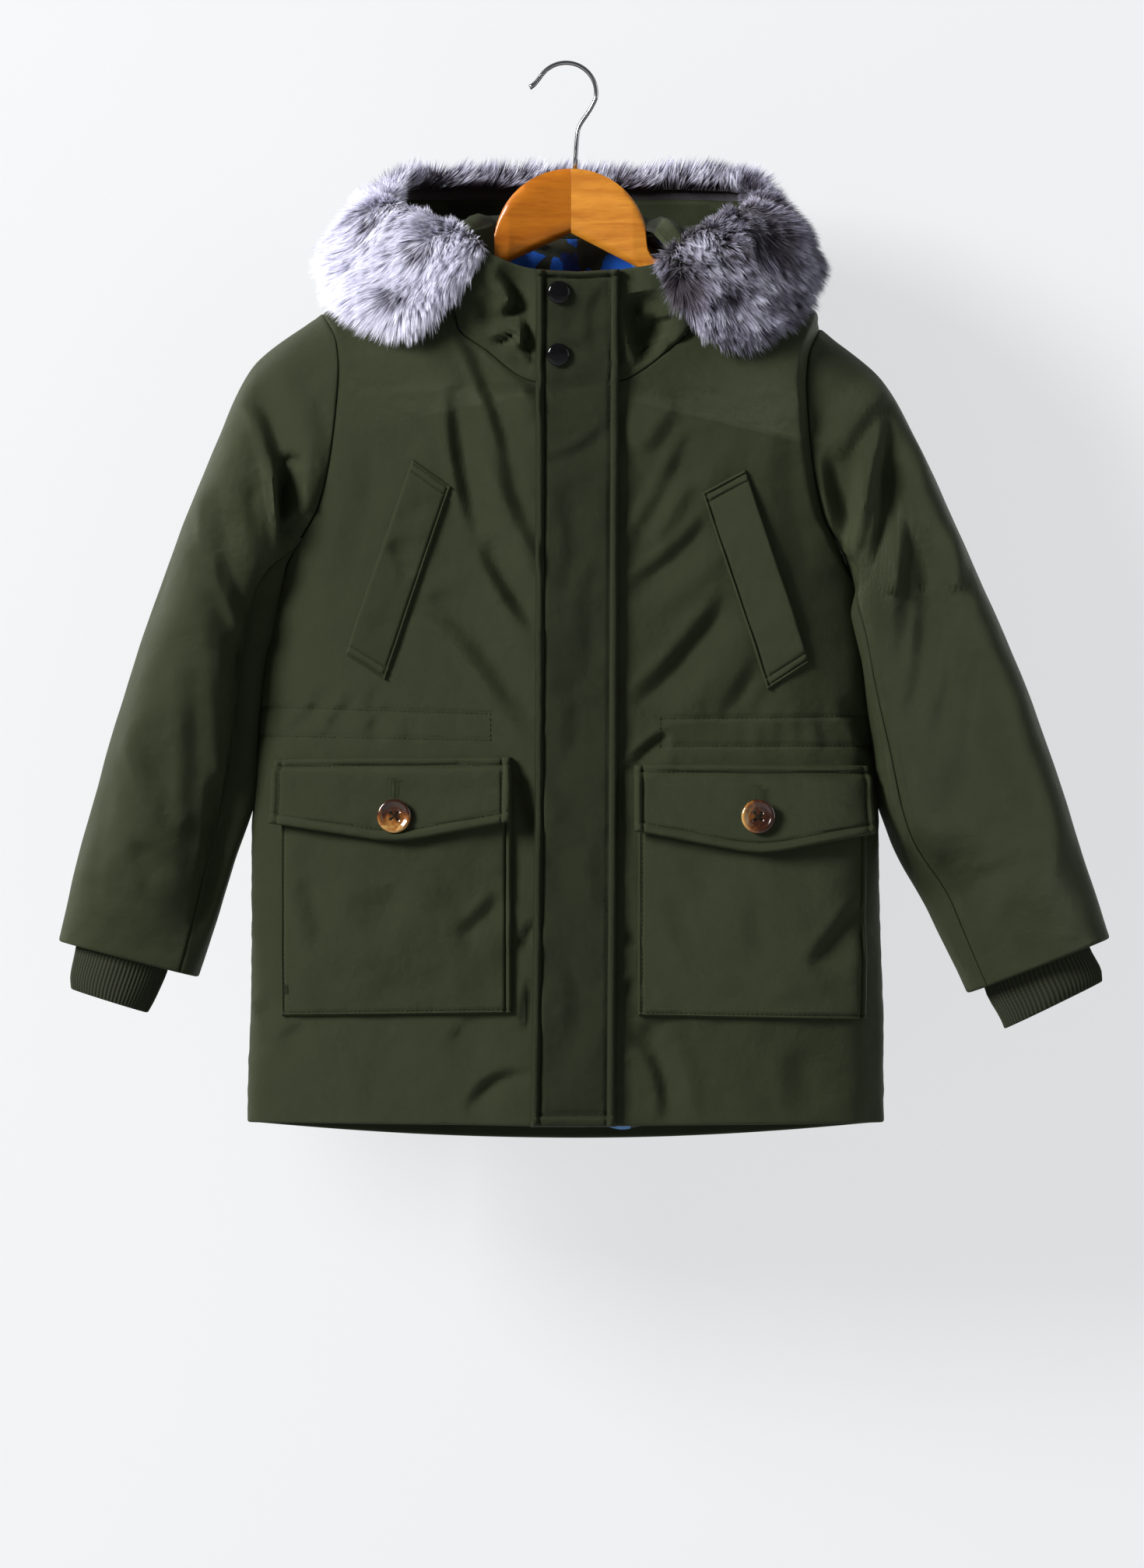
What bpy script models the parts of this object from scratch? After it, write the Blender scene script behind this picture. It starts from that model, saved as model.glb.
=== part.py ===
"""A child's hooded winter parka with a faux-fur hood trim, hanging on a wooden clothes hanger.

Every table and size is in millimetres, in the garment's own frame: x from the middle of the
placket (left is -x, as seen from the front), y from the hanger's plane (the front is -y) and
h above the front hem.  An empty carries the garment so that the world's origin is the seat of
the hanger's hook, the inside top of its bend.
"""

import math

import bmesh
import bpy
import numpy as np
from mathutils import Matrix, Vector

MM = 0.001
GAP = 0.3               # running gap at every seam and under everything that lies on a panel
HALF_GAP = 0.2
WALL = 4.0              # padded shell: outer cloth, wadding and lining
HOOD_WALL = 3.0
ROUND = 2.4             # exponent of the torso's section: 2 is an ellipse, more is boxier
SLEEVE_ROUND = 2.2

# The seat of the hook in the garment's frame.
SEAT_X = -8.0
SEAT_H = 716.0

LEFT, RIGHT = -1, 1
SIDES = {LEFT: "left", RIGHT: "right"}

# ---------------------------------------------------------------- tables of the cut
# Sections of the torso.  Above the armpit the half-widths are those of the shoulders, and
# the half-width at a height is where the shoulder's ridge stands.
TORSO = (
    # height, left half-width, right half-width, depth of front, depth of back
    (-14, 224, 207, 35, 31),
    (0, 224, 207, 36, 32),
    (110, 221, 205, 40, 34),
    (190, 221, 203, 41, 35),
    (225, 218, 201, 40, 34),
    (265, 213, 195, 37, 32),
    (305, 211, 193, 39, 33),
    (345, 205, 188, 42, 34),
    (364, 203, 187, 43, 35),
    (400, 217, 204, 45, 36),
    (450, 236, 226, 47, 37),
    (500, 227, 208, 47, 37),
    (520, 214, 188, 46, 37),
    (537.4, 191, 164, 44, 36),
    (547.8, 172.7, 145, 42, 35),
    (560, 149, 124, 40, 34),
    (580, 111, 91, 37, 32),
    (600, 74, 59, 33, 31),
    (612, 52, 39, 30, 29),
)
ARMPIT_H = 364.0
BACK_HEM_DROP = 12.0

# The armhole runs from the shoulder point down to the armpit and bows towards the body.
SHOULDER = {LEFT: (-172.7, 547.8), RIGHT: (164.0, 537.4)}
ARMPIT = {LEFT: (-203.0, ARMPIT_H), RIGHT: (187.0, ARMPIT_H)}
ARMHOLE_BOW = {LEFT: 22.0, RIGHT: 18.0}
ARMHOLE_SHAPE = (
    # share of the way down, share of the bow
    (0.0, 0.0),
    (0.12, 0.62),
    (0.27, 0.88),
    (0.54, 1.0),
    (0.72, 0.88),
    (0.82, 0.55),
    (0.92, 0.2),
    (1.0, 0.0),
)

# The neck seam and the hood's opening edge, from the middle of the front to the middle of the
# back.  Roll is how far the hood rises before it turns over, and drop is how deep it hangs.
NECK_POINT_WAY = 0.60
COLLAR_WAY = 0.08       # where the placket's edge stands on the neck seam
HOOD = {
    LEFT: (
        # way, neck x, neck h, edge x, edge y, edge h, roll, drop
        (0.00, 0, 497, 0, -49, 573, 0, 0),
        (0.08, -28, 499, -28, -50, 575, 0, 0),
        (0.22, -62, 521, -58, -52, 585, 0, 0),
        (0.34, -81, 537, -85, -47, 600, 0, 0),
        (0.46, -84, 562, -112, -28, 612, 7, 2),
        (0.60, -63, 606, -130, 6, 621, 14, 6),
        (0.70, -54, 603, -126, 44, 627, 11, 64),
        (0.80, -40, 601, -108, 70, 629, 11, 124),
        (0.90, -20, 599.5, -62, 88, 630, 11, 154),
        (1.00, 0, 599, 0, 95, 630, 11, 162),
    ),
    RIGHT: (
        (0.00, 0, 497, 0, -49, 573, 0, 0),
        (0.08, 28, 500, 28, -50, 575, 0, 0),
        (0.22, 60, 520, 53, -52, 579, 0, 0),
        (0.34, 74, 535, 79, -47, 595, 0, 0),
        (0.46, 76, 560, 104, -28, 609, 10, 2),
        (0.60, 52, 604.4, 122, 6, 619, 15, 6),
        (0.70, 44, 602, 118, 44, 626, 11, 64),
        (0.80, 34, 600.5, 102, 70, 628, 11, 124),
        (0.90, 17, 599.5, 58, 88, 630, 11, 154),
        (1.00, 0, 599, 0, 95, 630, 11, 162),
    ),
}
HOOD_PANEL_WAY = 0.80   # where the side panels meet the middle panel
HOOD_INSET = 0.25       # each hood panel's edge stands back this far from its seam
HOOD_CLEAR = 3.5        # how far the hood hangs off the shoulders and the back

# The fur strip turns over the hood's edge and lies outside it.  These are its lower edges.
FUR_START_WAY = 0.20
FUR_BACK_WAY = 0.70
FUR_STAND = 14.0        # how far the pile stands above the hood's edge
FUR_DEPTH = 25.0
FUR_LOWER = {
    LEFT: (
        # way, x, y, h
        (0.20, -108, -47, 531),
        (0.34, -144, -38, 540),
        (0.46, -166, -16, 557),
        (0.60, -167, 14, 576),
        (0.72, -150, 66, 577),
        (0.85, -98, 108, 571),
        (1.00, 0, 124, 566),
    ),
    RIGHT: (
        (0.20, 93, -49, 519),
        (0.34, 128, -39, 526),
        (0.46, 152, -18, 545),
        (0.60, 158, 14, 569),
        (0.72, 144, 66, 573),
        (0.85, 94, 108, 569),
        (1.00, 0, 124, 566),
    ),
}

# Sleeve sections past the armhole, each across the arm from its outer to its inner edge.
SLEEVE = {
    LEFT: (
        # share of the length, outer x, outer h, inner x, inner h, depth of front, depth of back
        (0.10, -221, 510, -205.6, 350, 42, 35),
        (0.22, -244, 462, -208.0, 333, 41, 34),
        (0.34, -265, 410, -211.0, 312, 39, 33),
        (0.46, -285, 357, -213.5, 286, 37, 31),
        (0.60, -305, 297, -218.0, 250, 34, 29),
        (0.74, -325, 229, -224.5, 207, 31, 27),
        (0.87, -341, 170, -241.0, 148, 28, 26),
        (1.00, -352, 122.6, -257.0, 98, 25, 24),
    ),
    RIGHT: (
        (0.10, 207, 501, 189.8, 350, 41, 35),
        (0.22, 228, 464, 192.0, 333, 40, 34),
        (0.34, 254, 409, 194.8, 312, 38, 33),
        (0.46, 278, 355, 196.6, 284, 36, 31),
        (0.60, 303, 297, 202.5, 245, 34, 29),
        (0.74, 328, 226, 212.0, 192, 31, 27),
        (0.87, 346, 169, 238.0, 141, 28, 26),
        (1.00, 360.7, 124.5, 264.0, 87, 26, 25),
    ),
}
# Ribbed cuffs: each is caught inside the sleeve and comes out of its end.
CUFF_WALL = 2.5
CUFF_CATCH = 0.93       # where on the sleeve the cuff is sewn in
CUFF = {
    LEFT: (
        # outer x, outer h, inner x, inner h, depth
        (-338, 128, -276, 110, 19),
        (-340, 116, -280, 99, 17),
        (-343.5, 98, -288, 81, 16),
        (-343, 90, -292, 74, 14.5),
    ),
    RIGHT: (
        (345, 126, 274, 99, 19),
        (348, 116, 277, 88, 17),
        (354.5, 102, 286, 69, 16),
        (355, 95, 289, 63, 14.5),
    ),
}

# What lies on the fronts.
PLACKET_HALF, PLACKET_TOP, PLACKET_THICK = 28.0, 572.5, 5.0
SNAPS = {"upper": (-12.2, 559.0), "lower": (-12.6, 517.5)}
SNAP_RADIUS, SNAP_HEIGHT = 7.7, 4.2
WELT_THICK = 3.0
WELTS = {
    # top outer, top inner, bottom inner, bottom outer corner, each as x, h
    LEFT: ((-111.4, 447.5), (-85.3, 429.0), (-129.6, 298.7), (-156.6, 316.0)),
    RIGHT: ((112.0, 440.5), (83.0, 425.0), (126.7, 292.6), (153.7, 311.0)),
}
POCKET_THICK = 6.0
POCKETS = {
    # outer x, inner x, top h, bottom h at the outer and at the inner side
    LEFT: (-199.5, -44.4, 238.0, 72.4, 74.6),
    RIGHT: (191.5, 40.5, 233.0, 70.0, 73.0),
}
FLAP_THICK = 4.5
FLAP_RISE = 7.5         # the band at the top in which the flap steps over the pocket's edge
FLAPS = {
    # outer x, inner x, top h outer, top h inner, bottom h outer, bottom h inner, tip x, tip h
    LEFT: (-204.0, -45.0, 246.0, 247.0, 202.0, 203.0, -122.4, 189.0),
    RIGHT: (196.0, 37.6, 240.6, 242.0, 195.0, 197.0, 121.4, 181.0),
}
BUTTONS = {LEFT: (-122.4, 207.0), RIGHT: (119.0, 206.5)}
BUTTON_RADIUS, BUTTON_HEIGHT = 11.5, 4.0
BUTTON_HOLE_RADIUS, BUTTON_HOLE_OFFSET = 1.1, 2.6

# Lining, only where it shows.
LINING_THICK = 1.2
NECK_LINING = (0.01, 0.60)                # its rows on the back, as shares down the armhole
HEM_LINING = (6.0, 66.0, -3.0, 40.0)     # from x, to x, lowest and highest height

# The small flap sewn inside the hood's left edge: its places there, and its free end
NECK_TAB_WAY, NECK_TAB_ALONG = 0.36, (0.70, 0.82, 0.94)
NECK_TAB_END, NECK_TAB_END_H = (-56.0, -21.0), (586.0, 597.0, 607.0)
NECK_TAB_THICK = 1.5

# Hanger.
HANGER_X = -4.7
ARCH_RADIUS, ARCH_H = 52.2, 593.4
ARM_APEX_H = 602.0
ARM_LOWER_SLOPE = {LEFT: 0.47, RIGHT: 0.52}
ARM_THICK = 10.0
ARM_LENGTH = 152.0
ARM_FORWARD = 0.00034   # the planks bow forward by this times the square of the distance out
ARM_UNDER_RIDGE = 8.0
ARM_STATIONS = (0.25, 8, 17, 26, 34, 41, 46.5, 50.3, 52.5, 60, 76, 96, 118, 138, 147, 152)
WIRE_RADIUS = 1.5
BEND_RADIUS = 20.5      # of the wire's middle
BEND_H = 697.0
HOOK_TIP = ((-32.6, 700.8), (-30.2, 702.0), (-27.4, 705.2))
HOOK_ARC = (146, -12, 16)                # first and last angle in degrees, and the steps between
HOOK_LOWER = ((8.4, 685.5), (3.4, 678.6), (0.6, 674.2), (-0.4, 670.0), (-1.2, 658.0), (-1.9, 646.1))

FINISHES = {
    # name: base colour, roughness, metallic
    "olive_cloth": ((0.055, 0.062, 0.036), 0.62, 0.0),
    "olive_dark_cloth": ((0.040, 0.046, 0.028), 0.7, 0.0),
    "rib_knit": ((0.036, 0.042, 0.026), 0.85, 0.0),
    "faux_fur": ((0.36, 0.34, 0.42), 0.9, 0.0),
    "camo_lining": ((0.02, 0.09, 0.32), 0.5, 0.0),
    "amber_wood": ((0.52, 0.23, 0.05), 0.35, 0.0),
    "chrome": ((0.75, 0.75, 0.77), 0.15, 1.0),
    "black_gloss": ((0.008, 0.008, 0.009), 0.12, 0.0),
    "tortoise": ((0.10, 0.045, 0.02), 0.2, 0.0),
}


# ---------------------------------------------------------------- curves and surfaces
def smooth(rows):
    """A smooth curve through a table: takes a value of its first column, gives the other columns."""
    table = np.array(rows, float)
    key, columns = table[:, 0], table[:, 1:]
    rise = np.diff(columns, axis=0) / np.diff(key)[:, None]
    slope = np.empty_like(columns)
    slope[0], slope[-1] = rise[0], rise[-1]
    before, after = rise[:-1], rise[1:]
    same_way = before * after > 0
    slope[1:-1] = np.where(same_way, 2 * before * after / np.where(same_way, before + after, 1), 0)

    def at(value):
        i = int(np.clip(np.searchsorted(key, value) - 1, 0, len(key) - 2))
        span = key[i + 1] - key[i]
        t = min(max((value - key[i]) / span, 0.0), 1.0)
        return (
            (1 + 2 * t) * (1 - t) ** 2 * columns[i]
            + t * t * (3 - 2 * t) * columns[i + 1]
            + span * (t * (1 - t) ** 2 * slope[i] - t * t * (1 - t) * slope[i + 1])
        )

    return at


def unit(vector):
    return vector / max(np.linalg.norm(vector), 1e-9)


def mix(a, b, share):
    return np.asarray(a, float) * (1 - share) + np.asarray(b, float) * share


torso_section = smooth(TORSO)
armhole_shape = smooth(ARMHOLE_SHAPE)
hood_station = {side: smooth(rows) for side, rows in HOOD.items()}
fur_lower = {side: smooth(rows) for side, rows in FUR_LOWER.items()}
HOOD_NECK_X = {side: hood_station[side](NECK_POINT_WAY)[0] for side in SIDES}
SEAM_WAY = 0.001        # keeps a normal on one side of the neck point


def half_width(x, h):
    left, right, _, _ = torso_section(h)
    return left if x < 0 else right


def torso_depth(h, front):
    _, _, front_depth, back_depth = torso_section(h)
    return front_depth if front else back_depth


def torso_point(x, h, front):
    """The point of the torso's outer surface at this x and height, kept off the side seam."""
    reach = min(abs(x) / half_width(x, h), 1.0)
    depth = max(torso_depth(h, front) * (1 - reach**ROUND) ** (1 / ROUND), HALF_GAP)
    return np.array([x, -depth if front else depth, h])


def torso_normal(x, h, front):
    """The outward normal, from the gradient of the section's equation."""
    point = torso_point(x, h, front)
    step = 1.0
    width, depth = half_width(x, h), torso_depth(h, front)
    width_rise = (half_width(x, h + step) - half_width(x, h - step)) / (2 * step)
    depth_rise = (torso_depth(h + step, front) - torso_depth(h - step, front)) / (2 * step)
    across = (abs(x) / width) ** (ROUND - 1)
    deep = (abs(point[1]) / depth) ** (ROUND - 1)
    up = -(across * abs(x) * width_rise / width**2 + deep * abs(point[1]) * depth_rise / depth**2)
    return unit(np.array([math.copysign(across / width, x), math.copysign(deep / depth, point[1]), up]))


def armhole(side, down):
    """x and height on the armhole, from the shoulder point (0) to the armpit (1)."""
    x, h = mix(SHOULDER[side], ARMPIT[side], down)
    return x - side * ARMHOLE_BOW[side] * armhole_shape(down)[0], h


def armhole_gap(down):
    """Half the gap along the armhole, a little wider at the armpit, where four panels meet."""
    return HALF_GAP * (1 + 3 * down**4)


def sleeve_rings(side, turn):
    """The points of every sleeve section at one place round it; turn is in half turns, 0 outside."""
    angle = math.pi * turn
    front = turn % 2 < 1
    x, h = armhole(side, (1 - math.cos(angle)) / 2)
    points = [(0.0, *(torso_point(x, h, front) + [side * armhole_gap((1 - math.cos(angle)) / 2), 0, 0]))]
    for share, outer_x, outer_h, inner_x, inner_h, front_depth, back_depth in SLEEVE[side]:
        along = math.copysign(abs(math.cos(angle)) ** (2 / SLEEVE_ROUND), math.cos(angle))
        deep = abs(math.sin(angle)) ** (2 / SLEEVE_ROUND)
        x, h = mix((inner_x, inner_h), (outer_x, outer_h), (1 + along) / 2)
        y = -front_depth * deep if front else back_depth * deep
        points.append((share, x, y, h))
    return smooth(points)


def sleeve_point(side, share, turn):
    return sleeve_rings(side, turn)(share)


def sleeve_normal(side, share, turn):
    low, high = max(share - 0.02, 0.0), min(share + 0.02, 1.0)
    along = sleeve_point(side, high, turn) - sleeve_point(side, low, turn)
    around = sleeve_point(side, share, turn + 0.02) - sleeve_point(side, share, turn - 0.02)
    return unit(np.cross(along, around) * -side)


def armhole_normal(side, turn):
    """The normal that the body and the sleeve share along the armhole."""
    x, h = armhole(side, (1 - math.cos(math.pi * turn)) / 2)
    return unit(torso_normal(x, h, turn < 1) + sleeve_normal(side, 0.0, turn))


def neck_point(side, way):
    """The neck seam, on the torso's surface."""
    x, h = hood_station[side](way)[:2]
    return torso_point(x, h, way < NECK_POINT_WAY)


def hood_profile(side, way):
    """The hood's section at one place round the neck: from the neck seam (0) to its opening edge (1)."""
    _, _, edge_x, edge_y, edge_h, roll, drop = hood_station[side](way)
    neck = neck_point(side, way) + [0, 0, GAP * (1 + way)]
    edge = np.array([edge_x, edge_y, edge_h])
    out = unit((edge - neck) * [1, 1, 0]) if drop > 1 else np.array([0.0, -1.0, 0.0])
    shape = (
        # share along, share of the way out, share of the roll, share of the drop, bulge
        (0.0, 0.0, 0.0, 0.0, 0.0),
        (0.12, 0.06, 1.0, 0.0, 1.0),
        (0.36, 0.20, 0.0, 0.55, 1.5),
        (0.58, 0.50, 0.0, 1.0, 2.0),
        (0.80, 0.92, 0.0, 0.58, 2.0),
        (1.0, 1.0, 0.0, 0.0, 0.0),
    )
    points = []
    for along, outward, roll_share, drop_share, bulge in shape:
        straight = along if drop < 1 else outward
        point = mix(neck, edge, straight) + out * bulge
        points.append((along, *(point + [0, 0, roll * roll_share - drop * drop_share])))
    return smooth(points)


def hood_point(side, way, along):
    """A point of the hood's outer surface, which hangs clear of the shoulders and the back."""
    point = hood_profile(side, way)(along)
    x, _, h = point
    if way > COLLAR_WAY and abs(x) < half_width(x, h):
        front = way < NECK_POINT_WAY
        skin, normal = torso_point(x, h, front), torso_normal(x, h, front)
        short = HOOD_CLEAR * min(along / 0.15, 1.0) - (point - skin) @ normal
        point += normal * max(short, 0.0)
    return point


def hood_normal(side, way, along):
    low_way, high_way = max(way - 0.02, 0.0), min(way + 0.02, 1.0)
    low, high = max(along - 0.03, 0.0), min(along + 0.03, 1.0)
    across = hood_point(side, high_way, along) - hood_point(side, low_way, along)
    up = hood_point(side, way, high) - hood_point(side, way, low)
    return unit(np.cross(across, up) * side)


def neck_normal(side, way):
    """The normal that the body and the hood share along the neck seam."""
    x, h = hood_station[side](way)[:2]
    return unit(torso_normal(x, h, way < NECK_POINT_WAY) + hood_normal(side, way, 0.0))


def front_skin(x, h):
    """Point and outward normal on the fronts, and above the neck seam on the front of the collar."""
    side = LEFT if x < 0 else RIGHT
    way = COLLAR_WAY * abs(x) / PLACKET_HALF
    _, neck_h, _, _, edge_h, _, _ = hood_station[side](way)
    if h <= neck_h:
        return torso_point(x, h, True), torso_normal(x, h, True)
    along = (h - neck_h) / (edge_h - neck_h)
    return hood_point(side, way, along), hood_normal(side, way, along)


# ---------------------------------------------------------------- making objects
def new_finish(name):
    colour, roughness, metallic = FINISHES[name]
    finish = bpy.data.materials.new(name)
    finish.use_nodes = True
    shader = finish.node_tree.nodes["Principled BSDF"]
    shader.inputs["Base Color"].default_value = (*colour, 1.0)
    shader.inputs["Roughness"].default_value = roughness
    shader.inputs["Metallic"].default_value = metallic
    return finish


def add_object(name, data, finish, garment, collection):
    obj = bpy.data.objects.new(name, data)
    obj.data.materials.append(finish)
    obj.parent = garment
    collection.objects.link(obj)
    return obj


def mesh_from(name, points, faces):
    mesh = bpy.data.meshes.new(name)
    mesh.from_pydata([tuple(MM * value for value in point) for point in points], [], faces)
    work = bmesh.new()
    work.from_mesh(mesh)
    bmesh.ops.recalc_face_normals(work, faces=work.faces)
    work.to_mesh(mesh)
    work.free()
    mesh.shade_smooth()
    mesh.set_sharp_from_angle(angle=math.radians(40))
    return mesh


def grid_faces(rows, columns, start=0, closed=False):
    """Quads between the rows of a grid of points; a closed grid joins its last column to its first."""
    last = columns if closed else columns - 1
    return [
        (
            start + r * columns + c,
            start + r * columns + (c + 1) % columns,
            start + (r + 1) * columns + (c + 1) % columns,
            start + (r + 1) * columns + c,
        )
        for r in range(rows - 1)
        for c in range(last)
    ]


def rim_faces(rows, columns, offset):
    """The quads that close the rim between a grid and its copy, offset points further on."""
    top = (rows - 1) * columns
    rim = list(range(columns))
    rim += [r * columns + columns - 1 for r in range(1, rows)]
    rim += [top + c for c in range(columns - 2, -1, -1)]
    rim += [r * columns for r in range(rows - 2, 0, -1)]
    return [(a, b, b + offset, a + offset) for a, b in zip(rim, rim[1:] + rim[:1])]


def wall_mesh(name, outer, normals, thickness):
    """A panel between its outer grid and the same grid moved in along the normals.

    Neighbouring panels share their normals along a seam, so their edges stand face to face."""
    outer, normals = np.array(outer), np.array(normals)
    rows, columns = outer.shape[:2]
    inner = outer - normals * thickness
    points = [*outer.reshape(-1, 3), *inner.reshape(-1, 3)]
    count = rows * columns
    faces = grid_faces(rows, columns) + grid_faces(rows, columns, count) + rim_faces(rows, columns, count)
    return mesh_from(name, points, faces)


def ring_mesh(name, rings, closed=False):
    """A solid skinned through closed rings; a closed one runs back into its first ring."""
    rings = np.array(rings)
    rows, columns = rings.shape[:2]
    faces = grid_faces(rows, columns, 0, True)
    if closed:
        last = (rows - 1) * columns
        faces += [(last + c, last + (c + 1) % columns, (c + 1) % columns, c) for c in range(columns)]
    else:
        faces += [tuple(range(columns)), tuple(range((rows - 1) * columns, rows * columns))]
    return mesh_from(name, rings.reshape(-1, 3), faces)


def patch_mesh(name, grid):
    """An open patch on the fronts from rows of (x, h, lift above the skin)."""
    points = []
    for row in grid:
        for x, h, lift in row:
            point, normal = front_skin(x, h)
            points.append(point + normal * lift)
    return mesh_from(name, points, grid_faces(len(grid), len(grid[0])))


def thicken(obj, thickness, bevel=0.0):
    """Gives an open patch its thickness, outwards from where it lies, with rounded edges."""
    outward = obj.data.polygons[0].normal.y < 0
    wall = obj.modifiers.new("thickness", "SOLIDIFY")
    wall.thickness = thickness * MM
    wall.offset = 1.0 if outward else -1.0
    wall.use_even_offset = True
    if bevel:
        edge = obj.modifiers.new("rounded edge", "BEVEL")
        edge.width = bevel * MM
        edge.segments = 1
        edge.limit_method = "ANGLE"
        edge.angle_limit = math.radians(50)


def turned_mesh(name, profile, steps):
    """A solid of revolution about z from (radius, height) pairs, closed on the axis at both ends."""
    rings = [
        [(r * math.cos(2 * math.pi * s / steps), r * math.sin(2 * math.pi * s / steps), z) for s in range(steps)]
        for r, z in profile
    ]
    return ring_mesh(name, rings)


def place_on_skin(obj, x, h, lift):
    """Stands an object, made about +z, on the fronts' skin."""
    point, normal = front_skin(x, h)
    turn = Vector(normal).to_track_quat("Z", "Y").to_matrix().to_4x4()
    obj.matrix_local = Matrix.Translation(Vector((point + normal * lift) * MM)) @ turn


# ---------------------------------------------------------------- torso
PANEL_COLUMNS = (0.0, 0.18, 0.36, 0.54, 0.72, 0.86, 0.95, 1.0)   # shares of the half-width
LOWER_ROWS = (0, 55, 110, 165, 225, 265, 305, 335)
# Rows above the armpit.  Sleeves share the first column and the hood shares the second.
UPPER_ROWS = (
    # share down the armhole, place on the neck seam, or below it -1 to 0 up the centre line
    (1.00, -1.00),
    (0.95, -0.88),
    (0.86, -0.70),
    (0.74, -0.45),
    (0.60, -0.20),
    (0.46, 0.00),
    (0.32, 0.08),
    (0.19, 0.22),
    (0.09, 0.34),
    (0.03, 0.46),
    (0.01, 0.53),
    (0.00, 0.60),
)


def turn_at(down, front):
    """The place round the sleeve, in half turns, of a share down the armhole."""
    turn = math.acos(1 - 2 * min(max(down, 0.0), 1.0)) / math.pi
    return turn if front else 2 - turn


def centre_height(side, place):
    """Heights up the front's centre line, from the armpit's height (-1) to the neck seam (0)."""
    return mix(HOOD[side][0][2] - 2 * GAP, ARMPIT_H, -place)


def front_inner(side, place):
    """x and height of the front's inner edge above the armpit: centre line, then neck seam."""
    if place <= 0:
        return side * HALF_GAP, centre_height(side, place)
    return hood_station[side](place)[:2]


def torso_cell(x, h, front, normal=None):
    return torso_point(x, h, front), torso_normal(x, h, front) if normal is None else normal


def front_grid(side):
    outer, normals = [], []
    for h in LOWER_ROWS:
        cells = [
            torso_cell(side * max(share * half_width(side, h), HALF_GAP), h, True) for share in PANEL_COLUMNS
        ]
        outer.append([point for point, _ in cells])
        normals.append([normal for _, normal in cells])
    for down, place in UPPER_ROWS:
        edge_x, edge_h = armhole(side, down)
        edge = (edge_x - side * armhole_gap(down), edge_h)
        row, row_normals = [], []
        for share in PANEL_COLUMNS:
            normal = None
            if share == 1.0:
                normal = armhole_normal(side, turn_at(down, True))
            elif share == 0.0 and place > 0:
                normal = neck_normal(side, min(place, NECK_POINT_WAY - SEAM_WAY))
            point, normal = torso_cell(*mix(front_inner(side, place), edge, share), True, normal)
            row.append(point)
            row_normals.append(normal)
        outer.append(row)
        normals.append(row_normals)
    return outer, normals


def neck_way(share):
    """Where a column of the back meets the neck seam."""
    return 1 - abs(share) / NECK_SHARE * (1 - NECK_POINT_WAY)


def back_top(share):
    """x and height of the back's top edge: left shoulder, neck, right shoulder; share runs -1 to 1."""
    side = LEFT if share < 0 else RIGHT
    if abs(share) <= NECK_SHARE:
        x, h = hood_station[side](neck_way(share))[:2]
        return x, h - GAP
    along = (abs(share) - NECK_SHARE) / (1 - NECK_SHARE)
    x = mix(HOOD_NECK_X[side], SHOULDER[side][0], along)
    return x, ridge_height(x)


def ridge_height(x):
    """The height of the shoulder's ridge at this x."""
    low, high = 530.0, 612.0
    for _ in range(40):
        middle = (low + high) / 2
        if half_width(x, middle) > abs(x):
            low = middle
        else:
            high = middle
    return low


NECK_SHARE = 0.34       # share of the back's half-width that the neck takes
BACK_SHARES = (0.0, 0.085, 0.17, 0.255, 0.2975, NECK_SHARE, 0.50, 0.66, 0.80, 0.92, 1.0)


def back_grid(rows=UPPER_ROWS, shares=BACK_SHARES, with_skirt=True):
    shares = [-share for share in shares[:0:-1]] + list(shares)
    outer, normals = [], []
    for h in LOWER_ROWS if with_skirt else ():
        row = []
        for share in shares:
            x = share * half_width(share, h)
            drop = BACK_HEM_DROP * (1 - share**2) * max(1 - h / LOWER_ROWS[1], 0)
            row.append(torso_cell(x, h - drop, False))
        outer.append([point for point, _ in row])
        normals.append([normal for _, normal in row])
    for down, _ in rows:
        up = 1 - down
        row = []
        for share in shares:
            side = LEFT if share < 0 else RIGHT
            low = np.array([share * abs(ARMPIT[side][0]), ARMPIT_H])
            high = np.array(back_top(share))
            edge = np.array(armhole(side, down)) - mix(ARMPIT[side], SHOULDER[side], up)
            x, h = mix(low, high, up) + (edge - [side * armhole_gap(down), 0]) * abs(share)
            normal = None
            if abs(share) == 1.0:
                normal = armhole_normal(side, turn_at(down, False))
            elif up == 1.0 and abs(share) <= NECK_SHARE:
                normal = neck_normal(side, max(neck_way(share), NECK_POINT_WAY + SEAM_WAY))
            row.append(torso_cell(x, h, False, normal))
        outer.append([point for point, _ in row])
        normals.append([normal for _, normal in row])
    return outer, normals


def build_torso(make):
    make("back", wall_mesh("back", *back_grid(), WALL), "olive_cloth")
    for side, word in SIDES.items():
        make(f"front_{word}", wall_mesh(f"front_{word}", *front_grid(side), WALL), "olive_cloth")


# ---------------------------------------------------------------- sleeves and cuffs
SLEEVE_SHARES = (0.0, 0.10, 0.22, 0.34, 0.46, 0.60, 0.74, 0.87, CUFF_CATCH, 1.0)
SEAM_DOWN = 0.86        # the long seams start this far down the armhole
SEAM_TURN = 0.0015      # keeps the two sleeve panels apart
# Places round the front half of a sleeve, in half turns, on the rows that the body has too.
FRONT_TURNS = [turn_at(down, True) for down, _ in reversed(UPPER_ROWS)]
SEAM_PLACE = FRONT_TURNS.index(turn_at(SEAM_DOWN, True))


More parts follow.
